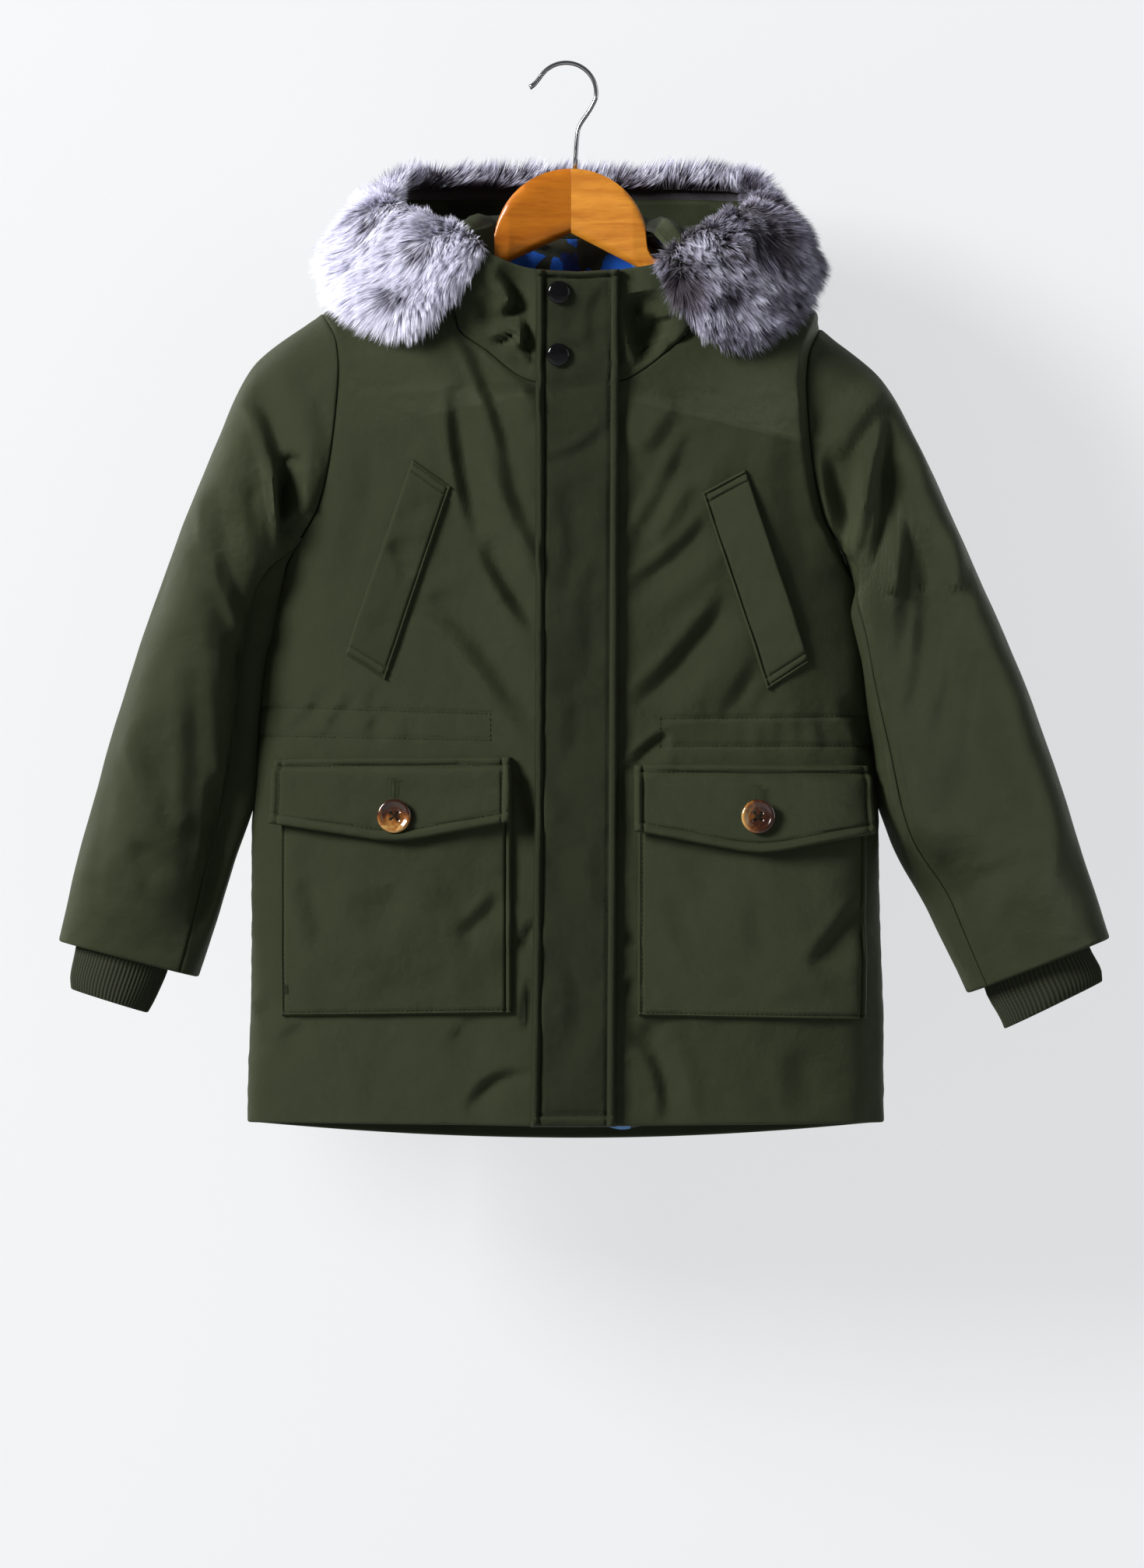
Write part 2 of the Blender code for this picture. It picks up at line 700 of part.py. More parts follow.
def sleeve_grid(side, turns):
    outer, normals = [], []
    for share in SLEEVE_SHARES:
        row, row_normals = [], []
        for place, turn in enumerate(turns):
            inset = {0: SEAM_TURN, len(turns) - 1: -SEAM_TURN}.get(place, 0.0)
            row.append(sleeve_point(side, share, (turn + inset) % 2))
            if share == 0.0:
                row_normals.append(armhole_normal(side, turn % 2))
            else:
                row_normals.append(sleeve_normal(side, share, turn % 2))
        outer.append(row)
        normals.append(row_normals)
    return outer, normals


def cuff_rings(side):
    """Outer rings of the cuff from its catch inside the sleeve to its end, then the inner ones back."""
    turns = FRONT_TURNS + [2 - turn for turn in FRONT_TURNS[-2:0:-1]]
    catch = []
    for turn in turns:
        point, normal = sleeve_point(side, CUFF_CATCH, turn), sleeve_normal(side, CUFF_CATCH, turn)
        catch.append(point - normal * (WALL + 2 * GAP))
    outer = [catch]
    for outer_x, outer_h, inner_x, inner_h, depth in CUFF[side]:
        ring = []
        for turn in turns:
            angle = math.pi * turn
            x, h = mix((inner_x, inner_h), (outer_x, outer_h), (1 + math.cos(angle)) / 2)
            ring.append(np.array([x, -depth * math.sin(angle), h]))
        outer.append(ring)
    outer = np.array(outer)
    middle = outer.mean(axis=1, keepdims=True)
    away = outer - middle
    inner = middle + away * (1 - CUFF_WALL / np.linalg.norm(away, axis=2, keepdims=True))
    return [*outer, *inner[::-1]]


def build_sleeves(make):
    seam_front = FRONT_TURNS[: SEAM_PLACE + 1]
    upper_turns = [-turn for turn in seam_front[:0:-1]] + seam_front
    under_turns = FRONT_TURNS[SEAM_PLACE:] + [2 - turn for turn in FRONT_TURNS[-2 : SEAM_PLACE - 1 : -1]]
    for side, word in SIDES.items():
        for panel, turns in (("upper", upper_turns), ("under", under_turns)):
            name = f"sleeve_{word}_{panel}"
            make(name, wall_mesh(name, *sleeve_grid(side, turns), WALL), "olive_cloth")
        make(f"cuff_{word}", ring_mesh(f"cuff_{word}", cuff_rings(side), closed=True), "rib_knit")


# ---------------------------------------------------------------- hood and fur
HOOD_ALONG = (0.0, 0.06, 0.12, 0.20, 0.30, 0.40, 0.49, 0.58, 0.67, 0.78, 0.89, 1.0)
SIDE_WAYS = [place for _, place in UPPER_ROWS if place >= 0] + [0.65, 0.70, HOOD_PANEL_WAY]
CENTRE_WAYS = (HOOD_PANEL_WAY, 0.90)


def hood_grid(stations):
    """Grid over the hood from (side, way) stations; each end of it stands back from its seam."""
    outer, normals = [], []
    for along in HOOD_ALONG:
        row = [hood_point(side, way, along) for side, way in stations]
        first, last = unit(row[1] - row[0]), unit(row[-2] - row[-1])
        row[0], row[-1] = row[0] + first * HOOD_INSET, row[-1] + last * HOOD_INSET
        outer.append(row)
        normals.append(
            [neck_normal(side, way) if along == 0.0 else hood_normal(side, way, along) for side, way in stations]
        )
    return outer, normals


def build_hood(make):
    for side, word in SIDES.items():
        grid = hood_grid([(side, way) for way in SIDE_WAYS])
        make(f"hood_{word}", wall_mesh(f"hood_{word}", *grid, HOOD_WALL), "olive_cloth")
    stations = [(LEFT, way) for way in CENTRE_WAYS] + [(RIGHT, 1.0)] + [(RIGHT, way) for way in CENTRE_WAYS[::-1]]
    make("hood_center", wall_mesh("hood_center", *hood_grid(stations), HOOD_WALL), "olive_cloth")


FUR_SECTION = 8         # steps round the strip's dome


def fur_ring(side, way):
    """The strip's section: flat on what it lies on, domed outside, its top above the hood's edge."""
    edge = hood_point(side, way, 1.0)
    lower = fur_lower[side](way)
    down = unit(lower - edge)
    near, far = max(way - 0.02, 0.0), min(way + 0.02, 1.0)
    along = hood_point(side, far, 1.0) - hood_point(side, near, 1.0)
    out = unit(np.cross(along, down) * -side)
    top = edge - down * FUR_STAND + out * GAP
    lower = lower + out * GAP
    middle, half = (top + lower) / 2, (lower - top) / 2
    ring = []
    for step in range(FUR_SECTION + 1):
        angle = math.pi * step / FUR_SECTION
        ring.append(middle + half * math.cos(angle) + out * (FUR_DEPTH * math.sin(angle) ** 0.75 + 1.5))
    ring += [mix(top, lower, share) + out * 1.0 for share in (0.25, 0.6)]
    return ring


def build_fur(make):
    side_ways = [FUR_START_WAY, 0.28, 0.34, 0.40, 0.46, 0.53, 0.60, FUR_BACK_WAY - SEAM_WAY]
    back_ways = [FUR_BACK_WAY + SEAM_WAY, 0.80, 0.90, 1.0]
    for side, word in SIDES.items():
        rings = [fur_ring(side, way) for way in side_ways]
        make(f"fur_{word}", ring_mesh(f"fur_{word}", rings), "faux_fur")
    rings = [fur_ring(LEFT, way) for way in back_ways[:-1]]
    rings.append((np.array(fur_ring(LEFT, 1.0)) + np.array(fur_ring(RIGHT, 1.0))) / 2)
    rings += [fur_ring(RIGHT, way) for way in back_ways[-2::-1]]
    make("fur_back", ring_mesh("fur_back", rings), "faux_fur")


# ---------------------------------------------------------------- what lies on the fronts
def build_placket(make):
    heights = [1.0, *LOWER_ROWS[1:], *(centre_height(LEFT, place) for _, place in UPPER_ROWS if place <= 0)]
    collar = [along for along in HOOD_ALONG if 0 < along < 0.95]
    heights += [mix(heights[-1], HOOD[LEFT][0][5], along) for along in collar] + [PLACKET_TOP]
    grid = [[(x, h, GAP) for x in (-PLACKET_HALF, 0, PLACKET_HALF)] for h in heights]
    placket = make("placket", patch_mesh("placket", grid), "olive_cloth")
    thicken(placket, PLACKET_THICK, bevel=1.2)
    profile = (
        (SNAP_RADIUS * 0.8, 0.0),
        (SNAP_RADIUS, 0.8),
        (SNAP_RADIUS, 1.8),
        (SNAP_RADIUS * 0.86, 3.0),
        (SNAP_RADIUS * 0.5, SNAP_HEIGHT - 0.25),
        (SNAP_RADIUS * 0.12, SNAP_HEIGHT),
    )
    for word, (x, h) in SNAPS.items():
        snap = make(f"snap_{word}", turned_mesh(f"snap_{word}", profile, 20), "black_gloss")
        place_on_skin(snap, x, h, PLACKET_THICK + 3 * GAP)


def build_welts(make):
    for side, word in SIDES.items():
        top_outer, top_inner, low_inner, low_outer = WELTS[side]
        grid = []
        for down in np.linspace(0, 1, 6):
            outer, inner = mix(top_outer, low_outer, down), mix(top_inner, low_inner, down)
            grid.append([(*mix(outer, inner, across), GAP) for across in (0, 0.5, 1)])
        welt = make(f"welt_{word}", patch_mesh(f"welt_{word}", grid), "olive_cloth")
        thicken(welt, WELT_THICK, bevel=0.8)


def panel_lines(side, outer_x, inner_x, *extra):
    """Places across a front, from outer to inner, that take in the panel's own grid lines between."""
    lines = [share * half_width(side, LOWER_ROWS[3]) * side for share in PANEL_COLUMNS]
    low, high = sorted((outer_x, inner_x))
    inside = {round(x, 3) for x in lines if low + 5 < x < high - 5}
    inside |= {x for x in extra if low < x < high}
    return sorted(inside | {outer_x, inner_x}, reverse=side == RIGHT)


def build_pockets(make):
    for side, word in SIDES.items():
        outer_x, inner_x, top, low_outer, low_inner = POCKETS[side]
        places = panel_lines(side, outer_x, inner_x)
        heights = [0.0, *(h for h in LOWER_ROWS if low_inner < h < top), top]
        grid = []
        for h in heights:
            row = []
            for x in places:
                low = np.interp(x, *zip(*sorted([(outer_x, low_outer), (inner_x, low_inner)])))
                row.append((x, max(h, low), GAP))
            grid.append(row)
        pocket = make(f"pocket_{word}", patch_mesh(f"pocket_{word}", grid), "olive_cloth")
        thicken(pocket, POCKET_THICK, bevel=1.8)


def build_flaps(make):
    for side, word in SIDES.items():
        outer_x, inner_x, top_outer, top_inner, low_outer, low_inner, tip_x, tip_h = FLAPS[side]
        over = POCKET_THICK + 3 * GAP
        grid = []
        for down in (0.0, 0.17, 0.6, 1.0):
            row = []
            for x in panel_lines(side, outer_x, inner_x, tip_x, *POCKETS[side][:2]):
                top = mix(top_outer, top_inner, (x - outer_x) / (inner_x - outer_x))
                low = np.interp(x, *zip(*sorted([(outer_x, low_outer), (tip_x, tip_h), (inner_x, low_inner)])))
                h = top - FLAP_RISE if down == 0.17 else mix(top, low, down)
                row.append((x, h, GAP if down == 0.0 else over))
            grid.append(row)
        flap = make(f"flap_{word}", patch_mesh(f"flap_{word}", grid), "olive_cloth")
        thicken(flap, FLAP_THICK, bevel=1.4)


def build_buttons(make, cutters):
    profile = (
        (BUTTON_RADIUS * 0.72, 0.0),
        (BUTTON_RADIUS, 1.6),
        (BUTTON_RADIUS * 0.97, 3.2),
        (BUTTON_RADIUS * 0.86, BUTTON_HEIGHT),
        (BUTTON_RADIUS * 0.70, 3.4),
        (BUTTON_RADIUS * 0.56, 2.7),
    )
    over = POCKET_THICK + FLAP_THICK + 4 * GAP
    for side, word in SIDES.items():
        button = make(f"button_{word}", turned_mesh(f"button_{word}", profile, 24), "tortoise")
        place_on_skin(button, *BUTTONS[side], over + 0.4)
        work = bmesh.new()
        for across in (-1, 1):
            for up in (-1, 1):
                spot = Matrix.Translation(Vector((across, up, 1.0)) * BUTTON_HOLE_OFFSET * MM)
                bmesh.ops.create_cone(
                    work,
                    cap_ends=True,
                    segments=8,
                    radius1=BUTTON_HOLE_RADIUS * MM,
                    radius2=BUTTON_HOLE_RADIUS * MM,
                    depth=12 * MM,
                    matrix=spot,
                )
        mesh = bpy.data.meshes.new(f"holes_{word}")
        work.to_mesh(mesh)
        work.free()
        cutter = bpy.data.objects.new(f"holes_{word}", mesh)
        cutter.hide_render = True
        cutter.display_type = "WIRE"
        cutter.parent = button
        cutters.objects.link(cutter)
        holes = button.modifiers.new("four holes", "BOOLEAN")
        holes.operation = "DIFFERENCE"
        holes.solver = "EXACT"
        holes.object = cutter


# ---------------------------------------------------------------- lining and tab
def inside_skin(obj, outward_y):
    """Gives a lining its thickness, inwards from where it lies."""
    faces_out = obj.data.polygons[0].normal.y * outward_y > 0
    wall = obj.modifiers.new("thickness", "SOLIDIFY")
    wall.thickness = LINING_THICK * MM
    wall.offset = -1.0 if faces_out else 1.0


def build_linings(make):
    rows = [row for row in UPPER_ROWS if NECK_LINING[0] <= row[0] <= NECK_LINING[1]]
    shares = [share for share in BACK_SHARES if share <= NECK_SHARE]
    outer, normals = back_grid(rows, shares, with_skirt=False)
    points = (np.array(outer) - np.array(normals) * (WALL + GAP)).reshape(-1, 3)
    mesh = mesh_from("lining_neck", points, grid_faces(len(rows), 2 * len(shares) - 1))
    inside_skin(make("lining_neck", mesh, "camo_lining"), 1)

    first, last, low, high = HEM_LINING
    points = []
    heights = [low, 0.0, high]
    places = np.linspace(first, last, 4)
    for h in heights:
        for x in places:
            point, normal = torso_point(x, h, True), torso_normal(x, h, True)
            points.append(point - normal * (WALL + 3 * GAP))
    mesh = mesh_from("lining_hem", points, grid_faces(len(heights), len(places)))
    inside_skin(make("lining_hem", mesh, "camo_lining"), -1)

    points = []
    for along, end_h in zip(NECK_TAB_ALONG, NECK_TAB_END_H):
        sewn = hood_point(LEFT, NECK_TAB_WAY, along)
        sewn = sewn - hood_normal(LEFT, NECK_TAB_WAY, along) * (HOOD_WALL + NECK_TAB_THICK + 2 * GAP)
        points += [mix(sewn, (*NECK_TAB_END, end_h), across) for across in (0, 0.5, 1)]
    tab = make("neck_tab", mesh_from("neck_tab", points, grid_faces(3, 3)), "olive_dark_cloth")
    thicken(tab, NECK_TAB_THICK)


# ---------------------------------------------------------------- hanger
def arm_section(side, out):
    """The plank's section at a distance out from the hanger's middle: top, bottom and middle depth."""
    x = HANGER_X + side * out
    top = 0.0
    if out < ARCH_RADIUS - 1.5:
        top = ARCH_H + math.sqrt(ARCH_RADIUS**2 - out**2)
    if out > 40:
        top = max(top, ridge_height(x) - ARM_UNDER_RIDGE)
    bottom = ARM_APEX_H - ARM_LOWER_SLOPE[side] * out
    tip = (out - (ARM_LENGTH - 14)) / 14
    if tip > 0:
        shrink = (1 - math.sqrt(max(1 - tip * tip, 0.0))) * 0.38 * (top - bottom)
        top, bottom = top - shrink, bottom + shrink
    return x, top, bottom, -ARM_FORWARD * out * out


def build_hanger(make, garment, collection, finish):
    for side, word in SIDES.items():
        rings = []
        for out in ARM_STATIONS:
            x, top, bottom, y = arm_section(side, out)
            front, back = y - ARM_THICK / 2, y + ARM_THICK / 2
            rings.append([(x, front, bottom), (x, back, bottom), (x, back, top), (x, front, top)])
        arm = make(f"hanger_arm_{word}", ring_mesh(f"hanger_arm_{word}", rings), "amber_wood")
        edge = arm.modifiers.new("rounded edge", "BEVEL")
        edge.width = 1.6 * MM
        edge.segments = 1
        edge.limit_method = "ANGLE"
        edge.angle_limit = math.radians(60)

    first, last, steps = HOOK_ARC
    arc = []
    for step in range(steps + 1):
        angle = math.radians(mix(first, last, step / steps))
        arc.append((SEAT_X + BEND_RADIUS * math.cos(angle), BEND_H + BEND_RADIUS * math.sin(angle)))
    route = [*HOOK_TIP, *arc, *HOOK_LOWER]
    curve = bpy.data.curves.new("hanger_hook", "CURVE")
    curve.dimensions = "3D"
    curve.bevel_depth = WIRE_RADIUS * MM
    curve.bevel_resolution = 2
    curve.use_fill_caps = True
    spline = curve.splines.new("POLY")
    spline.points.add(len(route) - 1)
    for point, (x, h) in zip(spline.points, route):
        point.co = (x * MM, 0, h * MM, 1)
    add_object("hanger_hook", curve, finish["chrome"], garment, collection)


# ---------------------------------------------------------------- the whole
def main():
    for obj in list(bpy.data.objects):
        bpy.data.objects.remove(obj, do_unlink=True)
    collection = bpy.data.collections.new("parka_on_hanger")
    cutters = bpy.data.collections.new("cutters")
    for each in (collection, cutters):
        bpy.context.scene.collection.children.link(each)
    garment = bpy.data.objects.new("garment", None)
    garment.location = (-SEAT_X * MM, 0, -SEAT_H * MM)
    collection.objects.link(garment)
    finish = {name: new_finish(name) for name in FINISHES}

    def make(name, mesh, finish_name):
        return add_object(name, mesh, finish[finish_name], garment, collection)

    build_torso(make)
    build_sleeves(make)
    build_hood(make)
    build_fur(make)
    build_placket(make)
    build_welts(make)
    build_pockets(make)
    build_flaps(make)
    build_buttons(make, cutters)
    build_linings(make)
    build_hanger(make, garment, collection, finish)


main()
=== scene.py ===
"""A child's hooded winter parka with a faux-fur hood trim, hanging on a wooden clothes hanger.

Every table is in millimetres, in the garment's own frame: x from the middle of the placket
(left is -x, as seen from the front), y from the hanger's plane (the front is -y) and h above
the front hem.  The surfaces are the ones that the packed model's panels were made from.
"""

import math
from itertools import product

import bmesh  # noqa: E402
import bpy  # noqa: E402
import numpy as np  # noqa: E402
from bpy.props import FloatProperty, FloatVectorProperty, IntProperty, PointerProperty  # noqa: E402
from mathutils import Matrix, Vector  # noqa: E402

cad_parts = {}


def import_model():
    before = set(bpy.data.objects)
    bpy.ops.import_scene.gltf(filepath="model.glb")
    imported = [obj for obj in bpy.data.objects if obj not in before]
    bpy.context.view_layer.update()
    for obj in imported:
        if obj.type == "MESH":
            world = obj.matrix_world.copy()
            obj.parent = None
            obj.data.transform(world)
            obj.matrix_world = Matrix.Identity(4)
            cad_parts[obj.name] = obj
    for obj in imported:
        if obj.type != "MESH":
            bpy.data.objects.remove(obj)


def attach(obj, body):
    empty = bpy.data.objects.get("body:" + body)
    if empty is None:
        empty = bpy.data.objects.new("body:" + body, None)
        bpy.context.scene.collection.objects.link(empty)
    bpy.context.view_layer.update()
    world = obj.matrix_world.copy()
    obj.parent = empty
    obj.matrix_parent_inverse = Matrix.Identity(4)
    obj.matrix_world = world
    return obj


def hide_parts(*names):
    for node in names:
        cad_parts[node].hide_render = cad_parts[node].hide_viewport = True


bl_info = {
    "name": "Hooded parka on a clothes hanger",
    "version": (1, 0, 0),
    "blender": (4, 5, 0),
    "location": "View3D > Sidebar > Parka",
    "description": "Makes the cloth, fur, trims and hanger of a child's winter parka",
    "category": "Object",
}

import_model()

MM, TURN = 0.001, 2 * math.pi
SEAT = np.array([-8.0, 0.0, 716.0])     # the hook's seat, which is the world's origin
GAP = 0.3                               # between a sewn-on piece and what it lies on
WALL, HOOD_WALL = 4.0, 3.0
ROUND, SLEEVE_ROUND = 2.4, 2.2          # powers of the superellipses of the body's and the sleeves' sections
MIDDLING_SECTION = (215, 41)            # half-width and depth that the grid's columns are spaced on
LEAST_AREA = 0.31                       # of its rectangle, for the outline of a flat piece
LEFT, RIGHT = -1, 1
SIDES = {LEFT: "left", RIGHT: "right"}

# ---------------------------------------------------------------- tables of the cut
TORSO = (
    # height, left half-width, right half-width, depth of front, depth of back
    (-14, 224, 207, 35, 31),
    (0, 224, 207, 36, 32),
    (110, 221, 205, 40, 34),
    (190, 221, 203, 41, 35),
    (225, 218, 201, 40, 34),
    (265, 213, 195, 37, 32),
    (305, 211, 193, 39, 33),
    (345, 205, 188, 42, 34),
    (364, 203, 187, 43, 35),
    (400, 217, 204, 45, 36),
    (450, 236, 226, 47, 37),
    (500, 227, 208, 47, 37),
    (520, 214, 188, 46, 37),
    (537.4, 191, 164, 44, 36),
    (547.8, 172.7, 145, 42, 35),
    (560, 149, 124, 40, 34),
    (580, 111, 91, 37, 32),
    (600, 74, 59, 33, 31),
    (612, 52, 39, 30, 29),
)
ARMPIT_H = 364.0
BACK_HEM_DROP = 12.0
FRONT_HEM_DROP = 2.5
SHOULDER = {LEFT: (-172.7, 547.8), RIGHT: (164.0, 537.4)}
ARMPIT = {LEFT: (-203.0, ARMPIT_H), RIGHT: (187.0, ARMPIT_H)}
ARMHOLE_BOW = {LEFT: 22.0, RIGHT: 18.0}
ARMHOLE_SHAPE = (
    # share of the way down, share of the bow
    (0.0, 0.0),
    (0.12, 0.62),
    (0.27, 0.88),
    (0.54, 1.0),
    (0.72, 0.88),
    (0.82, 0.55),
    (0.92, 0.2),
    (1.0, 0.0),
)
UPPER_ROWS = (
    # share down the armhole, place on the neck seam, or below it -1 to 0 up the centre line
    (1.00, -1.00),
    (0.95, -0.88),
    (0.86, -0.70),
    (0.74, -0.45),
    (0.60, -0.20),
    (0.46, 0.00),
    (0.32, 0.08),
    (0.19, 0.22),
    (0.09, 0.34),
    (0.03, 0.46),
    (0.01, 0.53),
    (0.00, 0.60),
)
NECK_SHARE = 0.34

NECK_POINT_WAY, COLLAR_WAY, HOOD_PANEL_WAY = 0.60, 0.08, 0.80
HOOD_CLEAR = 3.5
HOOD = {
    LEFT: (
        # way, neck x, neck h, edge x, edge y, edge h, roll, drop
        (0.00, 0, 497, 0, -49, 573, 0, 0),
        (0.08, -28, 499, -28, -50, 575, 0, 0),
        (0.22, -62, 521, -58, -52, 585, 0, 0),
        (0.34, -81, 537, -85, -47, 600, 0, 0),
        (0.46, -84, 562, -112, -28, 612, 5, 2),
        (0.60, -63, 606, -130, 6, 621, 6, 6),
        (0.70, -54, 603, -126, 44, 627, 8, 64),
        (0.80, -40, 601, -108, 70, 629, 11, 124),
        (0.90, -20, 599.5, -62, 88, 630, 11, 154),
        (1.00, 0, 599, 0, 95, 630, 11, 162),
    ),
    RIGHT: (
        (0.00, 0, 497, 0, -49, 573, 0, 0),
        (0.08, 28, 500, 28, -50, 575, 0, 0),
        (0.22, 60, 520, 53, -52, 579, 0, 0),
        (0.34, 74, 535, 79, -47, 595, 0, 0),
        (0.46, 76, 560, 104, -28, 609, 6, 2),
        (0.60, 52, 604.4, 122, 6, 619, 6, 6),
        (0.70, 44, 602, 118, 44, 626, 8, 64),
        (0.80, 34, 600.5, 102, 70, 628, 11, 124),
        (0.90, 17, 599.5, 58, 88, 630, 11, 154),
        (1.00, 0, 599, 0, 95, 630, 11, 162),
    ),
}
HOOD_SHAPE = (
    # share along, share of the way out, share of the roll, share of the drop, bulge
    (0.0, 0.0, 0.0, 0.0, 0.0),
    (0.12, 0.06, 1.0, 0.0, 1.0),
    (0.36, 0.20, 0.0, 0.55, 1.5),
    (0.58, 0.50, 0.0, 1.0, 2.0),
    (0.80, 0.92, 0.0, 0.58, 2.0),
    (1.0, 1.0, 0.0, 0.0, 0.0),
)
FUR_START_WAY, FUR_BACK_WAY = 0.20, 0.70
FUR_LOWER = {
    LEFT: (
        # way, x, y, h
        (0.20, -108, -47, 531),
        (0.34, -144, -38, 540),
        (0.46, -166, -16, 557),
        (0.60, -167, 14, 576),
        (0.72, -150, 66, 577),
        (0.85, -98, 108, 571),
        (1.00, 0, 124, 566),
    ),
    RIGHT: (
        (0.20, 93, -49, 519),
        (0.34, 128, -39, 526),
        (0.46, 152, -18, 545),
        (0.60, 158, 14, 569),
        (0.72, 144, 66, 573),
        (0.85, 94, 108, 569),
        (1.00, 0, 124, 566),
    ),
}

SEAM_DOWN = 0.86
SLEEVE = {
    LEFT: (
        # share of the length, outer x, outer h, inner x, inner h, depth of front, depth of back
        (0.10, -221, 510, -205.6, 350, 42, 35),
        (0.22, -244, 462, -208.0, 333, 41, 34),
        (0.34, -265, 410, -211.0, 312, 39, 33),
        (0.46, -285, 357, -213.5, 286, 37, 31),
        (0.60, -305, 297, -218.0, 250, 34, 29),
        (0.74, -325, 229, -224.5, 207, 31, 27),
        (0.87, -341, 170, -241.0, 148, 28, 26),
        (1.00, -352, 122.6, -257.0, 98, 25, 24),
    ),
    RIGHT: (
        (0.10, 207, 501, 189.8, 350, 41, 35),
        (0.22, 228, 464, 192.0, 333, 40, 34),
        (0.34, 254, 409, 194.8, 312, 38, 33),
        (0.46, 278, 355, 196.6, 284, 36, 31),
        (0.60, 303, 297, 202.5, 245, 34, 29),
        (0.74, 328, 226, 212.0, 192, 31, 27),
        (0.87, 346, 169, 238.0, 141, 28, 26),
        (1.00, 360.7, 124.5, 264.0, 87, 26, 25),
    ),
}
CUFF_WALL, CUFF_CATCH = 2.5, 0.93       # the share of the sleeve's length where it holds the cuff
CUFF_RIBS, CUFF_LOOPS = 70, 38
CUFF = {
    LEFT: (
        # outer x, outer h, inner x, inner h, depth
        (-338, 128, -276, 110, 19),
        (-340, 116, -280, 99, 17),
        (-343.5, 98, -288, 81, 16),
        (-343, 90, -292, 74, 14.5),
    ),
    RIGHT: (
        (345, 126, 274, 99, 19),
        (348, 116, 277, 88, 17),
        (354.5, 102, 286, 69, 16),
        (355, 95, 289, 63, 14.5),
    ),
}

PLACKET_HALF = 28.0
PLACKET_THICK, POCKET_THICK, FLAP_THICK, WELT_THICK = 5.0, 6.0, 4.5, 3.0
PLACKET_EDGES = (
    # height, left x, right x
    (-2, -32, 25.5),
    (100, -30.5, 26),
    (250, -29, 27),
    (500, -28.5, 28),
    (574.5, -28.5, 28.5),
)
SNAPS = {"upper": (-12.2, 559.0), "lower": (-12.6, 517.5)}
WELTS = {
    # top outer, top inner, bottom inner, bottom outer corner, each as x, h
    LEFT: ((-111.4, 447.5), (-85.3, 429.0), (-129.6, 298.7), (-156.6, 316.0)),
    RIGHT: ((112.0, 440.5), (83.0, 425.0), (126.7, 292.6), (153.7, 311.0)),
}
POCKETS = {
    # outer x, inner x, top h, bottom h at the outer and at the inner side
    LEFT: (-199.5, -44.4, 238.0, 72.4, 74.6),
    RIGHT: (191.5, 40.5, 233.0, 70.0, 73.0),
}
FLAPS = {
    # outer x, inner x, top h outer, top h inner, bottom h outer, bottom h inner, tip x, tip h
    LEFT: (-204.0, -45.0, 246.0, 247.0, 202.0, 203.0, -122.4, 189.0),
    RIGHT: (192.0, 37.6, 240.6, 242.0, 195.0, 197.0, 121.4, 181.0),
}
BUTTON_HOLE = 2.0                       # a hole's distance across and up from the button's middle
BUTTONS = {LEFT: (-122.4, 207.0), RIGHT: (119.0, 206.5)}
BUTTONHOLES = {LEFT: (-123.5, 221.0, 231.0), RIGHT: (119.0, 218.0, 226.0)}
TACKS = {
    # x, low h, high h of the bar of stitches beside each pocket
    LEFT: (-196.0, 88.0, 93.0),
    RIGHT: (186.5, 84.0, 88.0),
}
WAIST = {
    # inner x, outer share, upper h inner, upper h outer, lower h inner, lower h outer
    LEFT: (-59.0, -0.985, 276.0, 281.0, 258.4, 261.5),
    RIGHT: (55.6, 0.985, 273.0, 274.7, 254.4, 254.0),
}
WAIST_ROWS = (251, 285, 1.4)            # first h, last h and step of the grid's rows over the waist's channel
HEM_LINING = (6.0, 66.0, -3.5, 40.0)    # first x, last x, low h, high h
NECK_TAB_WAY, NECK_TAB_ALONG = 0.36, (0.70, 0.82, 0.94)
NECK_TAB_END, NECK_TAB_END_H = (-56.0, -21.0), (586.0, 597.0, 607.0)

# radii and heights of the pieces of revolution
SNAP_PROFILE = (
    (6.2, -0.4), (7.5, 0.2), (7.8, 0.8), (7.7, 1.4), (7.3, 2.0), (6.6, 2.5), (5.6, 2.8), (4.4, 2.95),
    (2.6, 3.1), (1.0, 3.15),
)
BUTTON_PROFILE = (
    (8.0, 0.0), (10.6, 0.7), (11.5, 1.9), (11.4, 3.0), (10.9, 3.7), (10.0, 4.0), (9.1, 3.8), (8.3, 3.2),
    (7.4, 2.7), (6.0, 2.5), (3.0, 2.4), (0.4, 2.4),
)

HANGER_X, ARCH_RADIUS, ARCH_H = -4.7, 52.2, 593.4
ARM_APEX_H, ARM_LOWER_SLOPE = 602.0, {LEFT: 0.47, RIGHT: 0.52}
ARM_THICK, ARM_LENGTH, ARM_UNDER_RIDGE = 10.0, 152.0, 8.0
WIRE_RADIUS, BEND_RADIUS, BEND_H = 1.5, 20.5, 697.0
HOOK_TIP = ((-32.6, 700.8), (-30.2, 702.0), (-27.4, 705.2))
HOOK_LOWER = ((8.4, 685.5), (3.4, 678.6), (0.6, 674.2), (-0.4, 670.0), (-1.2, 658.0), (-1.9, 645.6))

